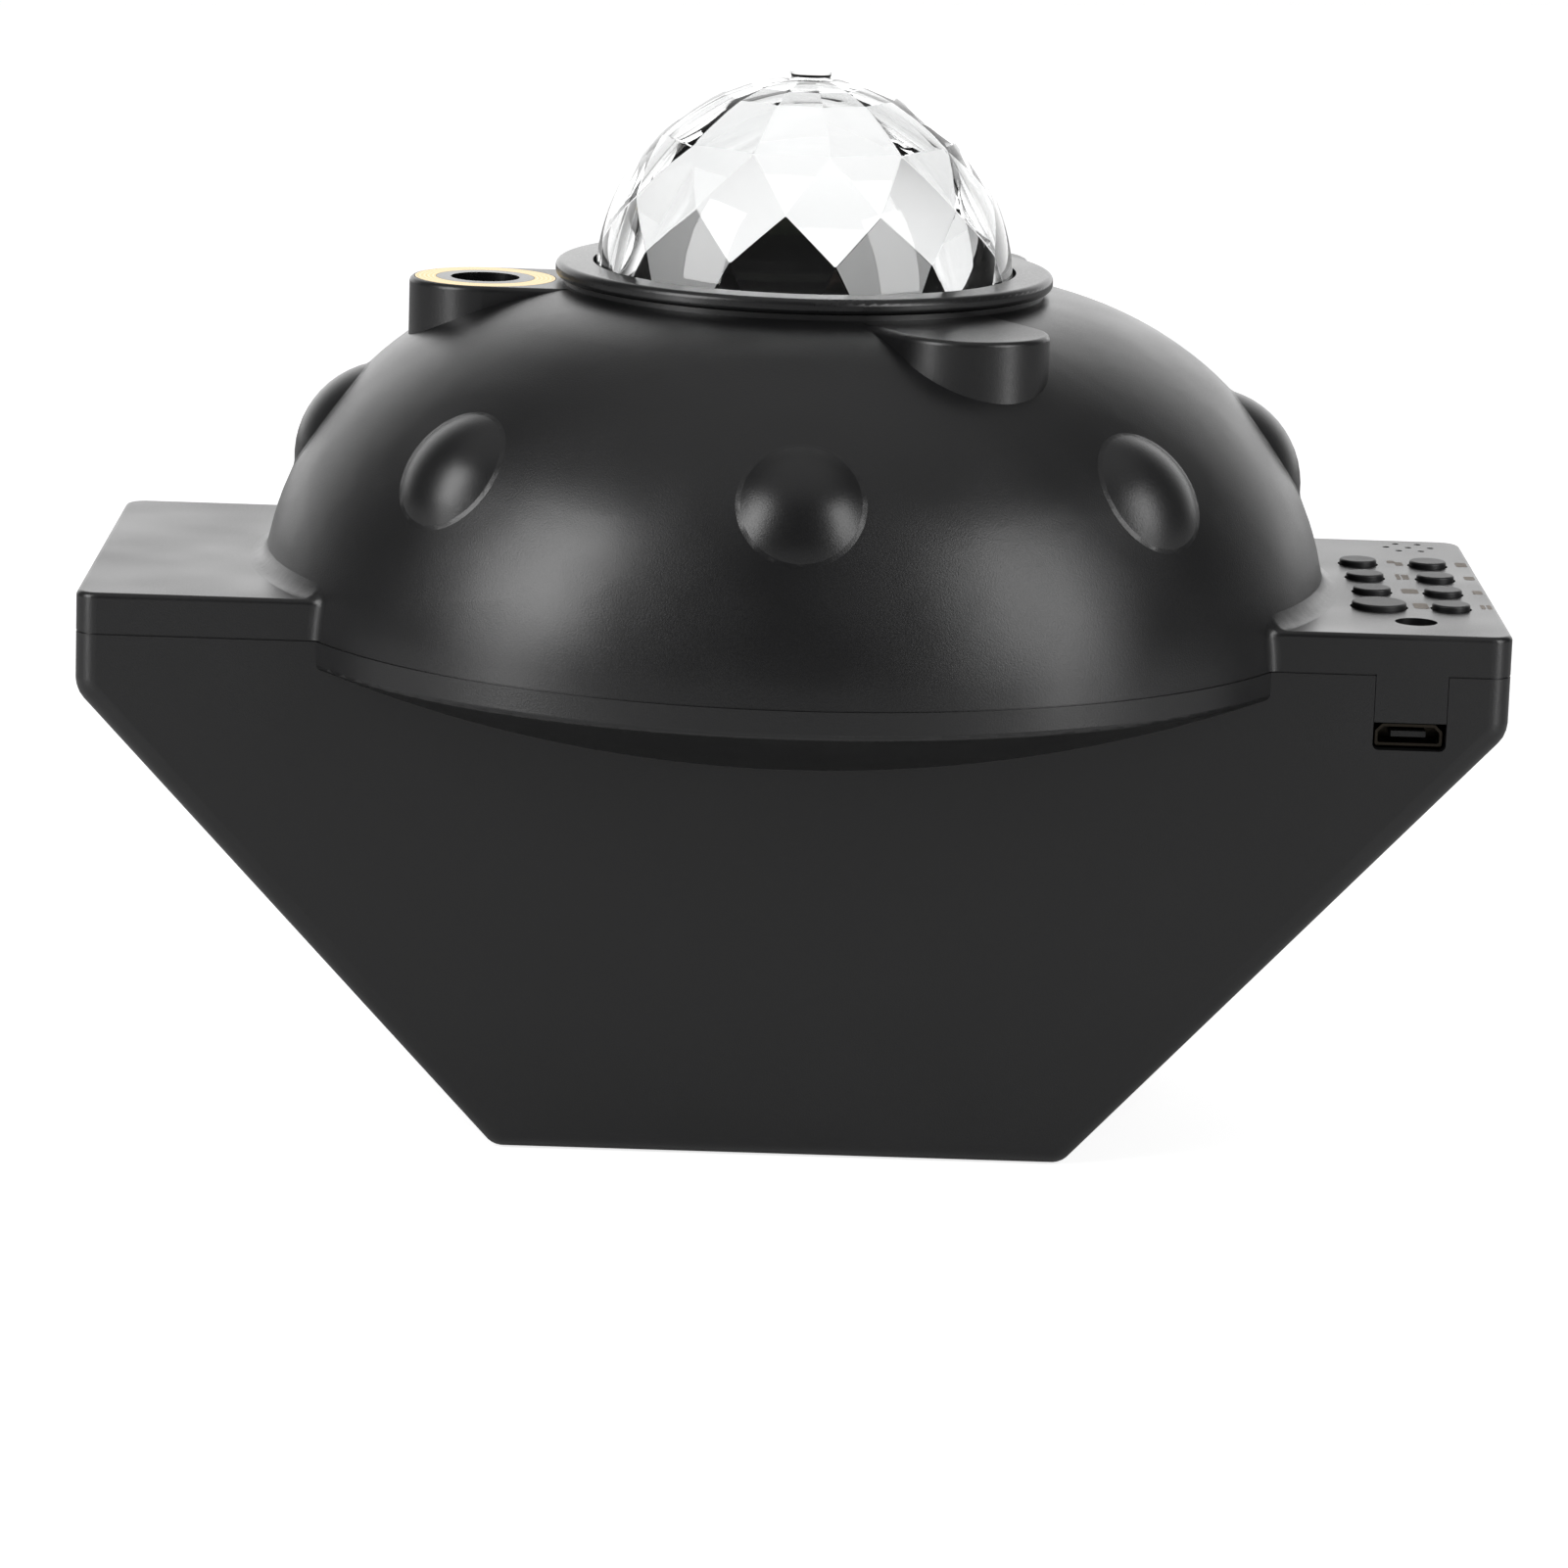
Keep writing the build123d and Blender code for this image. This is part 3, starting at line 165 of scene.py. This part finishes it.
def dress(tree, pattern, tones, gloss, relief, sockets):
    """Lets one pattern drive colour, roughness and relief; what is the same all over is set on sockets."""
    shader = tree.nodes["Principled BSDF"]
    low, high = [linear(tone) if isinstance(tone, str) else tone for tone in tones]
    colour = add_node(tree, "MixRGB", {}, {"Fac": pattern, "Color1": low, "Color2": high}).outputs["Color"]
    range_of_gloss = {"Value": pattern, "To Min": gloss[0], "To Max": gloss[1]}
    rough = add_node(tree, "MapRange", {}, range_of_gloss).outputs["Result"]
    bump = add_node(tree, "Bump", {}, {"Height": pattern, "Distance": relief * MM}).outputs["Normal"]
    tree.links.new(colour, shader.inputs["Base Color"])
    tree.links.new(rough, shader.inputs["Roughness"])
    tree.links.new(bump, shader.inputs["Normal"])
    for name, value in sockets.items():
        shader.inputs[name].default_value = value


def moulded(name, tones, gloss, grain, relief, sockets):
    """A moulded, cast or painted skin: a fine grain over slow changes of gloss from the flow of the melt.

    A real tool's grain is a few hundredths of a millimetre; here it is drawn coarser, so that it shows.
    """
    material, tree, place = new_material(name)
    fine = {"Vector": place, "Scale": per_mm(grain), "Detail": 2.0, "Roughness": 0.6}
    slow = {"Vector": place, "Scale": per_mm(MELT_FLOW_GRAINS * grain), "Detail": 1.0}
    fine_grain = add_node(tree, "TexNoise", {}, fine).outputs["Fac"]
    slow_flow = add_node(tree, "TexNoise", {}, slow).outputs["Fac"]
    both = add_node(tree, "Math", {"operation": "MULTIPLY"}, {0: fine_grain, 1: slow_flow}).outputs["Value"]
    span = {"Value": both, "From Min": MELT_SPREAD[0], "From Max": MELT_SPREAD[1]}
    spread = add_node(tree, "MapRange", {}, span).outputs["Result"]
    dress(tree, spread, tones, gloss, relief, sockets)
    return material


def turned(name, tones, gloss, node, pitch, relief, sockets):
    """A metal turned on a lathe: rings round the node's own upright axis, broken up a little.

    A real cut leaves rings about a tenth of a millimetre apart; here they are coarser, so that they show.
    """
    material, tree, place = new_material(name)
    low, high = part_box(node)
    centre = (low + high) / 2
    moved = {"Vector": place, "Location": (-centre.x, -centre.y, 0.0)}
    about_axis = add_node(tree, "Mapping", {"vector_type": "POINT"}, moved).outputs["Vector"]
    scale = per_mm(pitch) * 2 * pi / WAVE_RADIANS
    rings = {"Vector": about_axis, "Scale": scale, "Distortion": 0.6, "Detail": 2.0}
    wave = add_node(tree, "TexWave", {"wave_type": "RINGS", "rings_direction": "Z"}, rings).outputs["Fac"]
    dress(tree, wave, tones, gloss, relief, sockets)
    return material


def drawn(name, tones, gloss, grain, stretch, relief, sockets):
    """A rolled or extruded metal: streaks drawn out along one direction, or clouds where none leads."""
    material, tree, place = new_material(name)
    along = {"Vector": place, "Scale": stretch}
    pulled = add_node(tree, "Mapping", {"vector_type": "POINT"}, along).outputs["Vector"]
    streaks = {"Vector": pulled, "Scale": per_mm(grain), "Detail": 3.0, "Roughness": 0.7}
    noise = add_node(tree, "TexNoise", {}, streaks).outputs["Fac"]
    dress(tree, noise, tones, gloss, relief, sockets)
    return material


def cellular(name, tones, gloss, cell, relief, sockets):
    """A foamed, pressed, printed or sintered stuff: small cells or grains side by side."""
    material, tree, place = new_material(name)
    cells = {"Vector": place, "Scale": per_mm(cell), "Randomness": 1.0}
    distance = add_node(tree, "TexVoronoi", {"feature": "F1"}, cells).outputs["Distance"]
    dress(tree, distance, tones, gloss, relief, sockets)
    return material


def masked_board(name, tones):
    """Glass epoxy under solder mask: a glossy coat, with the copper tracks showing as a lighter tone."""
    material, tree, place = new_material(name)
    runs = {"Vector": place, "Scale": per_mm(TRACK_PITCH), "Mortar Size": TRACK_SHARE}
    grid = add_node(tree, "TexBrick", {"offset": 0.5}, runs).outputs["Fac"]
    patches = {"Vector": place, "Scale": per_mm(ETCH_SIZE), "Detail": 2.0}
    etch = add_node(tree, "TexNoise", {}, patches).outputs["Fac"]
    tracks = add_node(tree, "Math", {"operation": "MULTIPLY"}, {0: grid, 1: etch}).outputs["Value"]
    dress(tree, tracks, tones, gloss=(0.22, 0.34), relief=0.02, sockets={"IOR": 1.5, "Coat Weight": 0.3})
    return material


def black_shell():
    """Black ABS, moulded in a fine sparked tool: a satin skin with a soft, even sheen."""
    tones = ("#101011", "#161617")
    return moulded("abs_moulded_satin_black", tones, gloss=(0.3, 0.38), grain=0.2, relief=0.011,
                   sockets={"IOR": 1.53})


def black_trim():
    """Black ABS, moulded in a polished tool: tighter, brighter edges of light than the shell."""
    tones = ("#111112", "#171718")
    return moulded("abs_moulded_smooth_black", tones, gloss=(0.26, 0.34), grain=0.3, relief=0.006,
                   sockets={"IOR": 1.53})


def button_plastic():
    """Black ABS, moulded as small caps with a matt top: darker than the wing round them at a low view."""
    tones = ("#141415", "#1b1b1d")
    return moulded("abs_moulded_matt_black", tones, gloss=(0.44, 0.52), grain=0.2, relief=0.008,
                   sockets={"IOR": 1.53})


def frame_nylon():
    """Black nylon, moulded: duller and a little uneven, as a hidden frame part is."""
    tones = ("#151516", "#232324")
    return moulded("nylon_moulded_black", tones, gloss=(0.5, 0.62), grain=0.4, relief=0.02,
                   sockets={"IOR": 1.53})


def gear_acetal_painted_shade():
    """Natural acetal, moulded and waxy; its tones are painted shade, a mid grey in place of its own greyish
    white, for the shade under the clear dome.
    """
    # painted shade: a mid grey, darker than natural acetal, for the shade the gears sit in under the dome
    tones = ("#aeaba2", "#bdbab1")
    return moulded("acetal_moulded_natural_painted_shade", tones, gloss=(0.32, 0.42), grain=0.4, relief=0.01,
                   sockets={"IOR": 1.48})


def gold_ring():
    """Aluminium, turned and anodised pale gold: faint lathe rings in a soft metal shine."""
    tones = ("#bd9b44", "#d2b25c")
    return turned("aluminium_anodised_pale_gold", tones, gloss=(0.24, 0.36), node="laser_trim_ring",
                  pitch=0.5, relief=0.006, sockets={"Metallic": 1.0})


def barrel_brass():
    """Brass, turned: a warm yellow with clear tool rings."""
    tones = ("#a98c4a", "#c7ab66")
    return turned("brass_turned", tones, gloss=(0.22, 0.36), node="laser_barrel", pitch=0.4, relief=0.012,
                  sockets={"Metallic": 1.0})


def shaft_steel():
    """Steel, ground: a grey shine with close rings round the shaft."""
    tones = ("#8f9294", "#b4b7b9")
    return turned("steel_ground", tones, gloss=(0.28, 0.42), node="motor_shaft", pitch=0.4, relief=0.01,
                  sockets={"Metallic": 1.0})


def zinc_plate():
    """Steel, zinc plated: a cool grey with a cloudy gloss."""
    tones = ("#94979a", "#b9bcbe")
    return drawn("steel_plated_zinc", tones, gloss=(0.25, 0.45), grain=0.5, stretch=(1, 1, 1), relief=0.01,
                 sockets={"Metallic": 1.0})


def inlet_nickel_painted_shade():
    """Steel strip, pressed and nickel plated, with fine rolling streaks; its dim, warm grey is painted
    shade, far darker than nickel, for the shade in the recessed socket.
    """
    # painted shade: near-black tones in place of bright nickel, for the recess the socket sits in
    tones = ("#2c2925", "#3f3a33")
    return drawn("steel_pressed_nickel_painted_shade", tones, gloss=(0.28, 0.4), grain=0.4, stretch=(0.2, 1, 1),
                 relief=0.006, sockets={"Metallic": 1.0})


def sink_aluminium():
    """Aluminium, extruded: streaks along the fins."""
    tones = ("#a9abad", "#c6c8ca")
    return drawn("aluminium_extruded", tones, gloss=(0.32, 0.48), grain=0.3, stretch=(1, 0.08, 1),
                 relief=0.015, sockets={"Metallic": 1.0})


def frame_paint():
    """Steel, painted black: a slightly rippled coat."""
    tones = ("#161616", "#242424")
    return moulded("steel_painted_black", tones, gloss=(0.4, 0.55), grain=0.5, relief=0.02,
                   sockets={"IOR": 1.5})


def cone_paper():
    """Paper pulp, pressed: a dull black with short fibres."""
    tones = ("#161616", "#2c2b2a")
    return cellular("paper_pressed_black", tones, gloss=(0.8, 0.95), cell=0.6, relief=0.06,
                    sockets={"IOR": 1.4})


def magnet_ferrite():
    """Ferrite, sintered: a dark grey ceramic with a fine grain."""
    tones = ("#202021", "#323234")
    return cellular("ferrite_sintered", tones, gloss=(0.45, 0.6), cell=0.5, relief=0.02,
                    sockets={"IOR": 2.3})


def gasket_foam():
    """Foam, closed cell: dull black with small round cells."""
    tones = ("#131313", "#262626")
    return cellular("foam_closed_cell", tones, gloss=(0.85, 0.95), cell=0.7, relief=0.15,
                    sockets={"IOR": 1.4})


def dark_window():
    """Polycarbonate, moulded and dyed deep violet: it reads as black until light falls through it."""
    tones = ("#08070a", "#100d13")
    return moulded("polycarbonate_moulded_dark", tones, gloss=(0.1, 0.16), grain=0.6, relief=0.002,
                   sockets={"IOR": 1.58})


def lens_glass():
    """Glass, ground and coated: clear, with a faint violet cast."""
    tones = ("#cfd6ea", "#e4e0f0")
    return moulded("glass_ground_coated", tones, gloss=(0.0, 0.03), grain=2.0, relief=0.001,
                   sockets={"IOR": 1.52, "Transmission Weight": 1.0})


def contact_block():
    """Glass-filled polymer, moulded: a dull dark grey block."""
    tones = ("#141414", "#202020")
    return moulded("polymer_moulded_contact_block", tones, gloss=(0.5, 0.6), grain=0.3, relief=0.01,
                   sockets={"IOR": 1.5})


def light_ink():
    """Ink, pad printed: a matt warm grey film with a slightly broken cover."""
    tones = ("#938b84", "#a79f97")
    return cellular("ink_pad_printed_grey", tones, gloss=(0.8, 0.9), cell=0.25, relief=0.002,
                    sockets={"IOR": 1.4})


def emitter_resin():
    """Resin, cast over four different chips: red, green, blue and warm white, one to a corner."""
    material, tree, place = new_material("resin_cast_emitter")
    axes = add_node(tree, "SeparateXYZ", {}, {"Vector": place}).outputs
    right = add_node(tree, "Math", {"operation": "GREATER_THAN"}, {0: axes["X"], 1: 0.0}).outputs["Value"]
    behind = add_node(tree, "Math", {"operation": "GREATER_THAN"}, {0: axes["Y"], 1: 0.0}).outputs["Value"]
    near = {"Fac": right, "Color1": linear("#b8483a"), "Color2": linear("#4f9a55")}
    far = {"Fac": right, "Color1": linear("#4a62b5"), "Color2": linear("#e8d58a")}
    front_pair = add_node(tree, "MixRGB", {}, near).outputs["Color"]
    back_pair = add_node(tree, "MixRGB", {}, far).outputs["Color"]
    all_four = {"Fac": behind, "Color1": front_pair, "Color2": back_pair}
    tint = add_node(tree, "MixRGB", {}, all_four).outputs["Color"]
    grains = {"Vector": place, "Scale": per_mm(CHIP_GRAIN), "Detail": 2.0}
    grain = add_node(tree, "TexNoise", {}, grains).outputs["Fac"]
    dress(tree, grain, (tint, "#f3ecd2"), gloss=(0.12, 0.3), relief=0.008, sockets={"IOR": 1.5})
    return material


def acrylic(name, gloss):
    """Acrylic, moulded: clear, with the faintest waviness from the melt's flow."""
    material, tree, place = new_material(name)
    flow = {"Vector": place, "Scale": per_mm(ACRYLIC_FLOW), "Detail": 1.0, "Distortion": 0.8}
    waves = add_node(tree, "TexNoise", {}, flow).outputs["Fac"]
    sockets = {"IOR": 1.49, "Transmission Weight": 1.0}
    dress(tree, waves, ("#fbfcfc", "#ffffff"), gloss, relief=0.006, sockets=sockets)
    return material


def clear_acrylic():
    """Clear acrylic, moulded in a polished tool: a hard gloss."""
    return acrylic("acrylic_moulded_clear", gloss=(0.0, 0.02))


def frosted_acrylic():
    """Clear acrylic, moulded against an etched patch of the tool: it blurs what is behind to a soft grey."""
    return acrylic("acrylic_moulded_frosted", gloss=(0.55, 0.65))


def seen_share(tree, through_share, gloss_share):
    """One for what the camera sees straight, and a share of it for what shows in the dome or in a gloss.

    Only a ray that was refracted, and never mirrored or scattered, counts as seen through the dome.
    """
    ray = add_node(tree, "LightPath", {}, {}).outputs
    turns = {0: ray["Diffuse Depth"], 1: ray["Glossy Depth"]}
    thrown = add_node(tree, "Math", {"operation": "ADD"}, turns).outputs["Value"]
    clean = add_node(tree, "Math", {"operation": "LESS_THAN"}, {0: thrown, 1: NO_BOUNCE}).outputs["Value"]
    refracted = {0: ray["Transmission Depth"], 1: clean}
    through = add_node(tree, "Math", {"operation": "MINIMUM"}, refracted).outputs["Value"]
    seen = ray["Is Camera Ray"]
    for kind, share in ((through, through_share), (ray["Is Glossy Ray"], gloss_share)):
        part = add_node(tree, "Math", {"operation": "MULTIPLY"}, {0: kind, 1: share}).outputs["Value"]
        seen = add_node(tree, "Math", {"operation": "MAXIMUM"}, {0: seen, 1: part}).outputs["Value"]
    return seen


def white_card():
    """Card, matt: white where only the backdrop shows, with the object's soft shadow left on it."""
    material, tree, place = new_material("card_matt_white")
    fibre = add_node(tree, "TexNoise", {}, {"Vector": place, "Scale": per_mm(CARD_FIBRE)}).outputs["Fac"]
    tones = ("#d2d2d2", "#d6d6d6")
    dress(tree, fibre, tones, gloss=(0.85, 0.95), relief=0.0, sockets={"Specular IOR Level": 0.1})
    seen = seen_share(tree, FLOOR_THROUGH_SHARE, FLOOR_GLOSS_SHARE)
    lift = add_node(tree, "Math", {"operation": "MULTIPLY"}, {0: seen, 1: FLOOR_LIFT}).outputs["Value"]
    shader = tree.nodes["Principled BSDF"]
    shader.inputs["Emission Color"].default_value = linear("#ffffff")
    tree.links.new(lift, shader.inputs["Emission Strength"])
    return material


def room():
    """White behind the object and dim in front, so that the black mouldings keep their depth."""
    world = bpy.data.worlds.new("studio")
    world.use_nodes = True
    bpy.context.scene.world = world
    tree = world.node_tree
    eased = {"interpolation_type": "SMOOTHSTEP"}
    direction = add_node(tree, "TexCoord", {}, {}).outputs["Generated"]
    axes = add_node(tree, "SeparateXYZ", {}, {"Vector": direction}).outputs
    behind = {"Value": axes["Y"], "From Min": BACK_BAND[0], "From Max": BACK_BAND[1]}
    back = add_node(tree, "MapRange", eased, behind).outputs["Result"]
    overhead = {"Value": axes["Z"], "From Min": OVERHEAD_BAND[0], "From Max": OVERHEAD_BAND[1]}
    overhead |= {"To Min": 1.0, "To Max": OVERHEAD_SHARE}
    falling = add_node(tree, "MapRange", eased, overhead).outputs["Result"]
    backdrop = add_node(tree, "Math", {"operation": "MULTIPLY"}, {0: back, 1: falling}).outputs["Value"]
    span = {"Value": backdrop, "To Min": FRONT_LEVEL, "To Max": BACK_LEVEL}
    around = add_node(tree, "MapRange", {}, span).outputs["Result"]
    above = {"Value": axes["Z"], "From Min": ZENITH_BAND[0], "From Max": ZENITH_BAND[1]}
    above |= {"To Min": 0.0, "To Max": ZENITH_LEVEL}
    zenith = add_node(tree, "MapRange", eased, above).outputs["Result"]
    level = add_node(tree, "Math", {"operation": "ADD"}, {0: around, 1: zenith}).outputs["Value"]
    seen = seen_share(tree, through_share=1.0, gloss_share=0.0)
    shown = {"Value": seen, "To Min": level, "To Max": SEEN_LEVEL}
    strength = add_node(tree, "MapRange", {}, shown).outputs["Result"]
    tree.links.new(strength, tree.nodes["Background"].inputs["Strength"])
    tree.nodes["Background"].inputs["Color"].default_value = linear("#ffffff")


def soft_boxes():
    """The soft boxes at the sides, kept out of sight of the camera and out of the view through the dome."""
    for name, box in SOFT_BOXES.items():
        light = bpy.data.lights.new(name, "AREA")
        light.shape = "RECTANGLE"
        light.size, light.size_y = [side * MM for side in box["size"]]
        light.energy = box["watts"]
        lamp = bpy.data.objects.new(name, light)
        lamp.location = Vector(box["place"]) * MM
        aim = Vector(LIGHT_AIM) * MM - lamp.location
        lamp.rotation_euler = aim.to_track_quat("-Z", "Y").to_euler()
        lamp.visible_camera = False
        lamp.visible_transmission = False
        bpy.context.scene.collection.objects.link(lamp)


def floor():
    """A plain pale floor under the stand."""
    bm = bmesh.new()
    bmesh.ops.create_grid(bm, x_segments=1, y_segments=1, size=FLOOR_REACH * MM)
    bmesh.ops.translate(bm, verts=bm.verts, vec=(0.0, 0.0, -FLOOR_DROP * MM))
    mesh = bpy.data.meshes.new("floor")
    bm.to_mesh(mesh)
    bm.free()
    mesh.materials.append(white_card())
    card = bpy.data.objects.new("floor", mesh)
    bpy.context.scene.collection.objects.link(card)


def camera():
    """The photograph's view, with colours shown as written and mirror bounces enough for the clear dome."""
    lens = bpy.data.cameras.new("camera")
    lens.lens = CAMERA_LENS
    lens.sensor_width = CAMERA_SENSOR
    lens.clip_start = CAMERA_NEAR * MM
    lens.clip_end = CAMERA_FAR * MM
    seen_from = bpy.data.objects.new("camera", lens)
    seen_from.location = Vector(CAMERA_PLACE) * MM
    seen_from.rotation_euler = [radians(v) for v in CAMERA_TURN]
    bpy.context.scene.collection.objects.link(seen_from)
    bpy.context.scene.camera = seen_from
    bpy.context.scene.view_settings.view_transform = "Standard"
    bpy.context.scene.cycles.glossy_bounces = MIRROR_BOUNCES


def merged_copy(node):
    """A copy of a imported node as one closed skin."""
    bm = bmesh.new()
    bm.from_mesh(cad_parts[node].data)
    bmesh.ops.remove_doubles(bm, verts=bm.verts, dist=SAME_POINT * MM)
    return bm


def make_piece(name, bm, materials, body, slot, *replaced):
    """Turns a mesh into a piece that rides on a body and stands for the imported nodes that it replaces."""
    mesh = bpy.data.meshes.new(name)
    bm.to_mesh(mesh)
    bm.free()
    for material in materials:
        mesh.materials.append(material)
    made = bpy.data.objects.new(name, mesh)
    bpy.context.scene.collection.objects.link(made)
    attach(made, body)
    if replaced:
        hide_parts(*replaced)


def fine_crown(bm, facets, inner_r):
    """Puts rings of narrow facets in place of the broad ones round the pole, so the crown reads clear."""
    bmesh.ops.delete(bm, geom=facets, context="FACES")
    rim = [edge for edge in bm.edges if edge.is_boundary]
    rise = (POLE - CROWN_FROM) / CROWN_STEPS
    levels = [radians(CROWN_FROM + rise * step) for step in range(CROWN_STEPS)]
    for low, high in zip(levels, levels[1:]):
        grown = bmesh.ops.extrude_edge_only(bm, edges=rim)["geom"]
        ring = [part for part in grown if isinstance(part, bmesh.types.BMVert)]
        rim = [part for part in grown if isinstance(part, bmesh.types.BMEdge) and part.is_boundary]
        draw_in = cos(high) / cos(low)
        bmesh.ops.scale(bm, verts=ring, vec=(draw_in, draw_in, 1.0))
        bmesh.ops.translate(bm, verts=ring, vec=(0.0, 0.0, inner_r * (sin(high) - sin(low))))
    bmesh.ops.contextual_create(bm, geom=rim)
    bmesh.ops.recalc_face_normals(bm, faces=bm.faces)


def clear_dome():
    """The clear dome: eased facet edges, a fine crown, and every second facet of the lowest row frosted."""
    bm = merged_copy("crystal_dome")
    bmesh.ops.dissolve_limit(bm, angle_limit=radians(FLAT_WITHIN), verts=bm.verts, edges=bm.edges)
    ball_centre = Vector((0.0, 0.0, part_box("crystal_dome")[1].z - (NUB_HEIGHT + BALL_R) * MM))
    collar_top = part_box("dome_bezel")[1].z
    mid_wall = (BALL_R - DOME_WALL / 2) * MM

    def elevation(place):
        return degrees(asin((place - ball_centre).normalized().z))

    def on_inside(place):
        return place.z > collar_top and (place - ball_centre).length < mid_wall

    def on_crown(place):
        return on_inside(place) and elevation(place) > CROWN_FROM + CROWN_MARGIN

    def on_facets(place):
        return on_inside(place) and not on_crown(place)

    def from_frosted(place):
        azimuth = degrees(atan2(place.y, place.x))
        return abs((azimuth - FROSTED_AZIMUTH + FROSTED_STEP / 2) % FROSTED_STEP - FROSTED_STEP / 2)

    crown = [face for face in bm.faces if on_crown(face.calc_center_median())]
    fine_crown(bm, crown, (BALL_R - DOME_WALL) * MM)
    middles = {edge: (edge.verts[0].co + edge.verts[1].co) / 2 for edge in bm.edges}
    facet_edges = [edge for edge, middle in middles.items() if on_facets(middle)]
    bmesh.ops.bevel(bm, geom=facet_edges, offset=FACET_EDGE * MM, offset_type="OFFSET",
                    segments=FACET_EDGE_STEPS, profile=0.5, affect="EDGES", material=-1, clamp_overlap=True)
    for face in bm.faces:
        place = face.calc_center_median()
        face.smooth = not on_inside(place)
        if on_facets(place) and elevation(place) < FROSTED_BELOW and from_frosted(place) < FROSTED_SPREAD:
            face.material_index = 1
    for edge in bm.edges:
        edge.smooth = len(edge.link_faces) == 2 and edge.calc_face_angle() < radians(SHARP_FROM)
    finishes = [clear_acrylic(), frosted_acrylic()]
    make_piece("clear_dome", bm, finishes, "dome", "clear_acrylic", "crystal_dome")


def printed_marks():
    """Small plain marks in light ink beside the buttons, one film thick on the wing's top."""
    ink = bmesh.new()
    for node, bars in PRINTED_MARKS.items():
        low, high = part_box(node)
        middle = (low + high) / 2
        top = high.z - BUTTON_PROUD * MM
        for x, y, length, width in bars:
            unit_square = bmesh.ops.create_grid(ink, x_segments=1, y_segments=1, size=0.5)["verts"]
            bmesh.ops.scale(ink, verts=unit_square, vec=(length * MM, width * MM, 1.0))
            place = ((MARK_OFFSET[0] + x) * MM + middle.x, (MARK_OFFSET[1] + y) * MM + middle.y, top)
            bmesh.ops.translate(ink, verts=unit_square, vec=place)
            corner = MARK_CORNER_SHARE * min(length, width)
            bmesh.ops.bevel(ink, geom=unit_square, offset=corner * MM, offset_type="OFFSET",
                            segments=MARK_CORNER_STEPS, profile=0.5, affect="VERTICES", material=-1,
                            clamp_overlap=True)
    film = bmesh.ops.extrude_face_region(ink, geom=ink.faces[:])["geom"]
    raised = [part for part in film if isinstance(part, bmesh.types.BMVert)]
    bmesh.ops.translate(ink, verts=raised, vec=(0.0, 0.0, INK_FILM * MM))
    bmesh.ops.recalc_face_normals(ink, faces=ink.faces)
    make_piece("printed_marks", ink, [light_ink()], "housing", "button_plastic")


def dress_nodes():
    """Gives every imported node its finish."""
    buttons = [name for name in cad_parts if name.startswith("button_")]
    plungers = [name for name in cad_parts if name.startswith("plunger_")]
    screws = [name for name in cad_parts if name.endswith("_screws")]
    radio_can = [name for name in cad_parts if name.endswith("_module")]
    finishes = [
        (black_shell(), ["base_shell", "top_cover"]),
        (black_trim(), ["dome_bezel", "laser_sleeve"]),
        (button_plastic(), buttons),
        (frame_nylon(), ["drive_deck", "tact_switches", "ir_receiver", *plungers]),
        (gear_acetal_painted_shade(), ["dome_ring_gear", "drive_pinion"]),
        (gold_ring(), ["laser_trim_ring"]),
        (barrel_brass(), ["laser_barrel"]),
        (shaft_steel(), ["motor_shaft"]),
        (zinc_plate(), ["drive_motor", "microphone", *radio_can, *screws]),
        (inlet_nickel_painted_shade(), ["usb_shell"]),
        (sink_aluminium(), ["heat_sink"]),
        (frame_paint(), ["speaker_frame"]),
        (cone_paper(), ["speaker_cone"]),
        (magnet_ferrite(), ["speaker_magnet"]),
        (gasket_foam(), ["speaker_gasket"]),
        (dark_window(), ["ir_window"]),
        (lens_glass(), ["laser_lens"]),
        (emitter_resin(), ["led_emitters"]),
        (masked_board("glass_epoxy_green_mask", ("#0d3d20", "#1d5c34")), ["control_board", "laser_board"]),
        (masked_board("glass_epoxy_black_mask", ("#0b0b0c", "#1a1a1c")), ["led_board"]),
        (contact_block(), ["usb_tongue"]),
    ]
    for material, nodes in finishes:
        for node in nodes:
            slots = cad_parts[node].data.materials
            slots.clear()
            slots.append(material)


camera()
room()
soft_boxes()
floor()
dress_nodes()
clear_dome()
printed_marks()
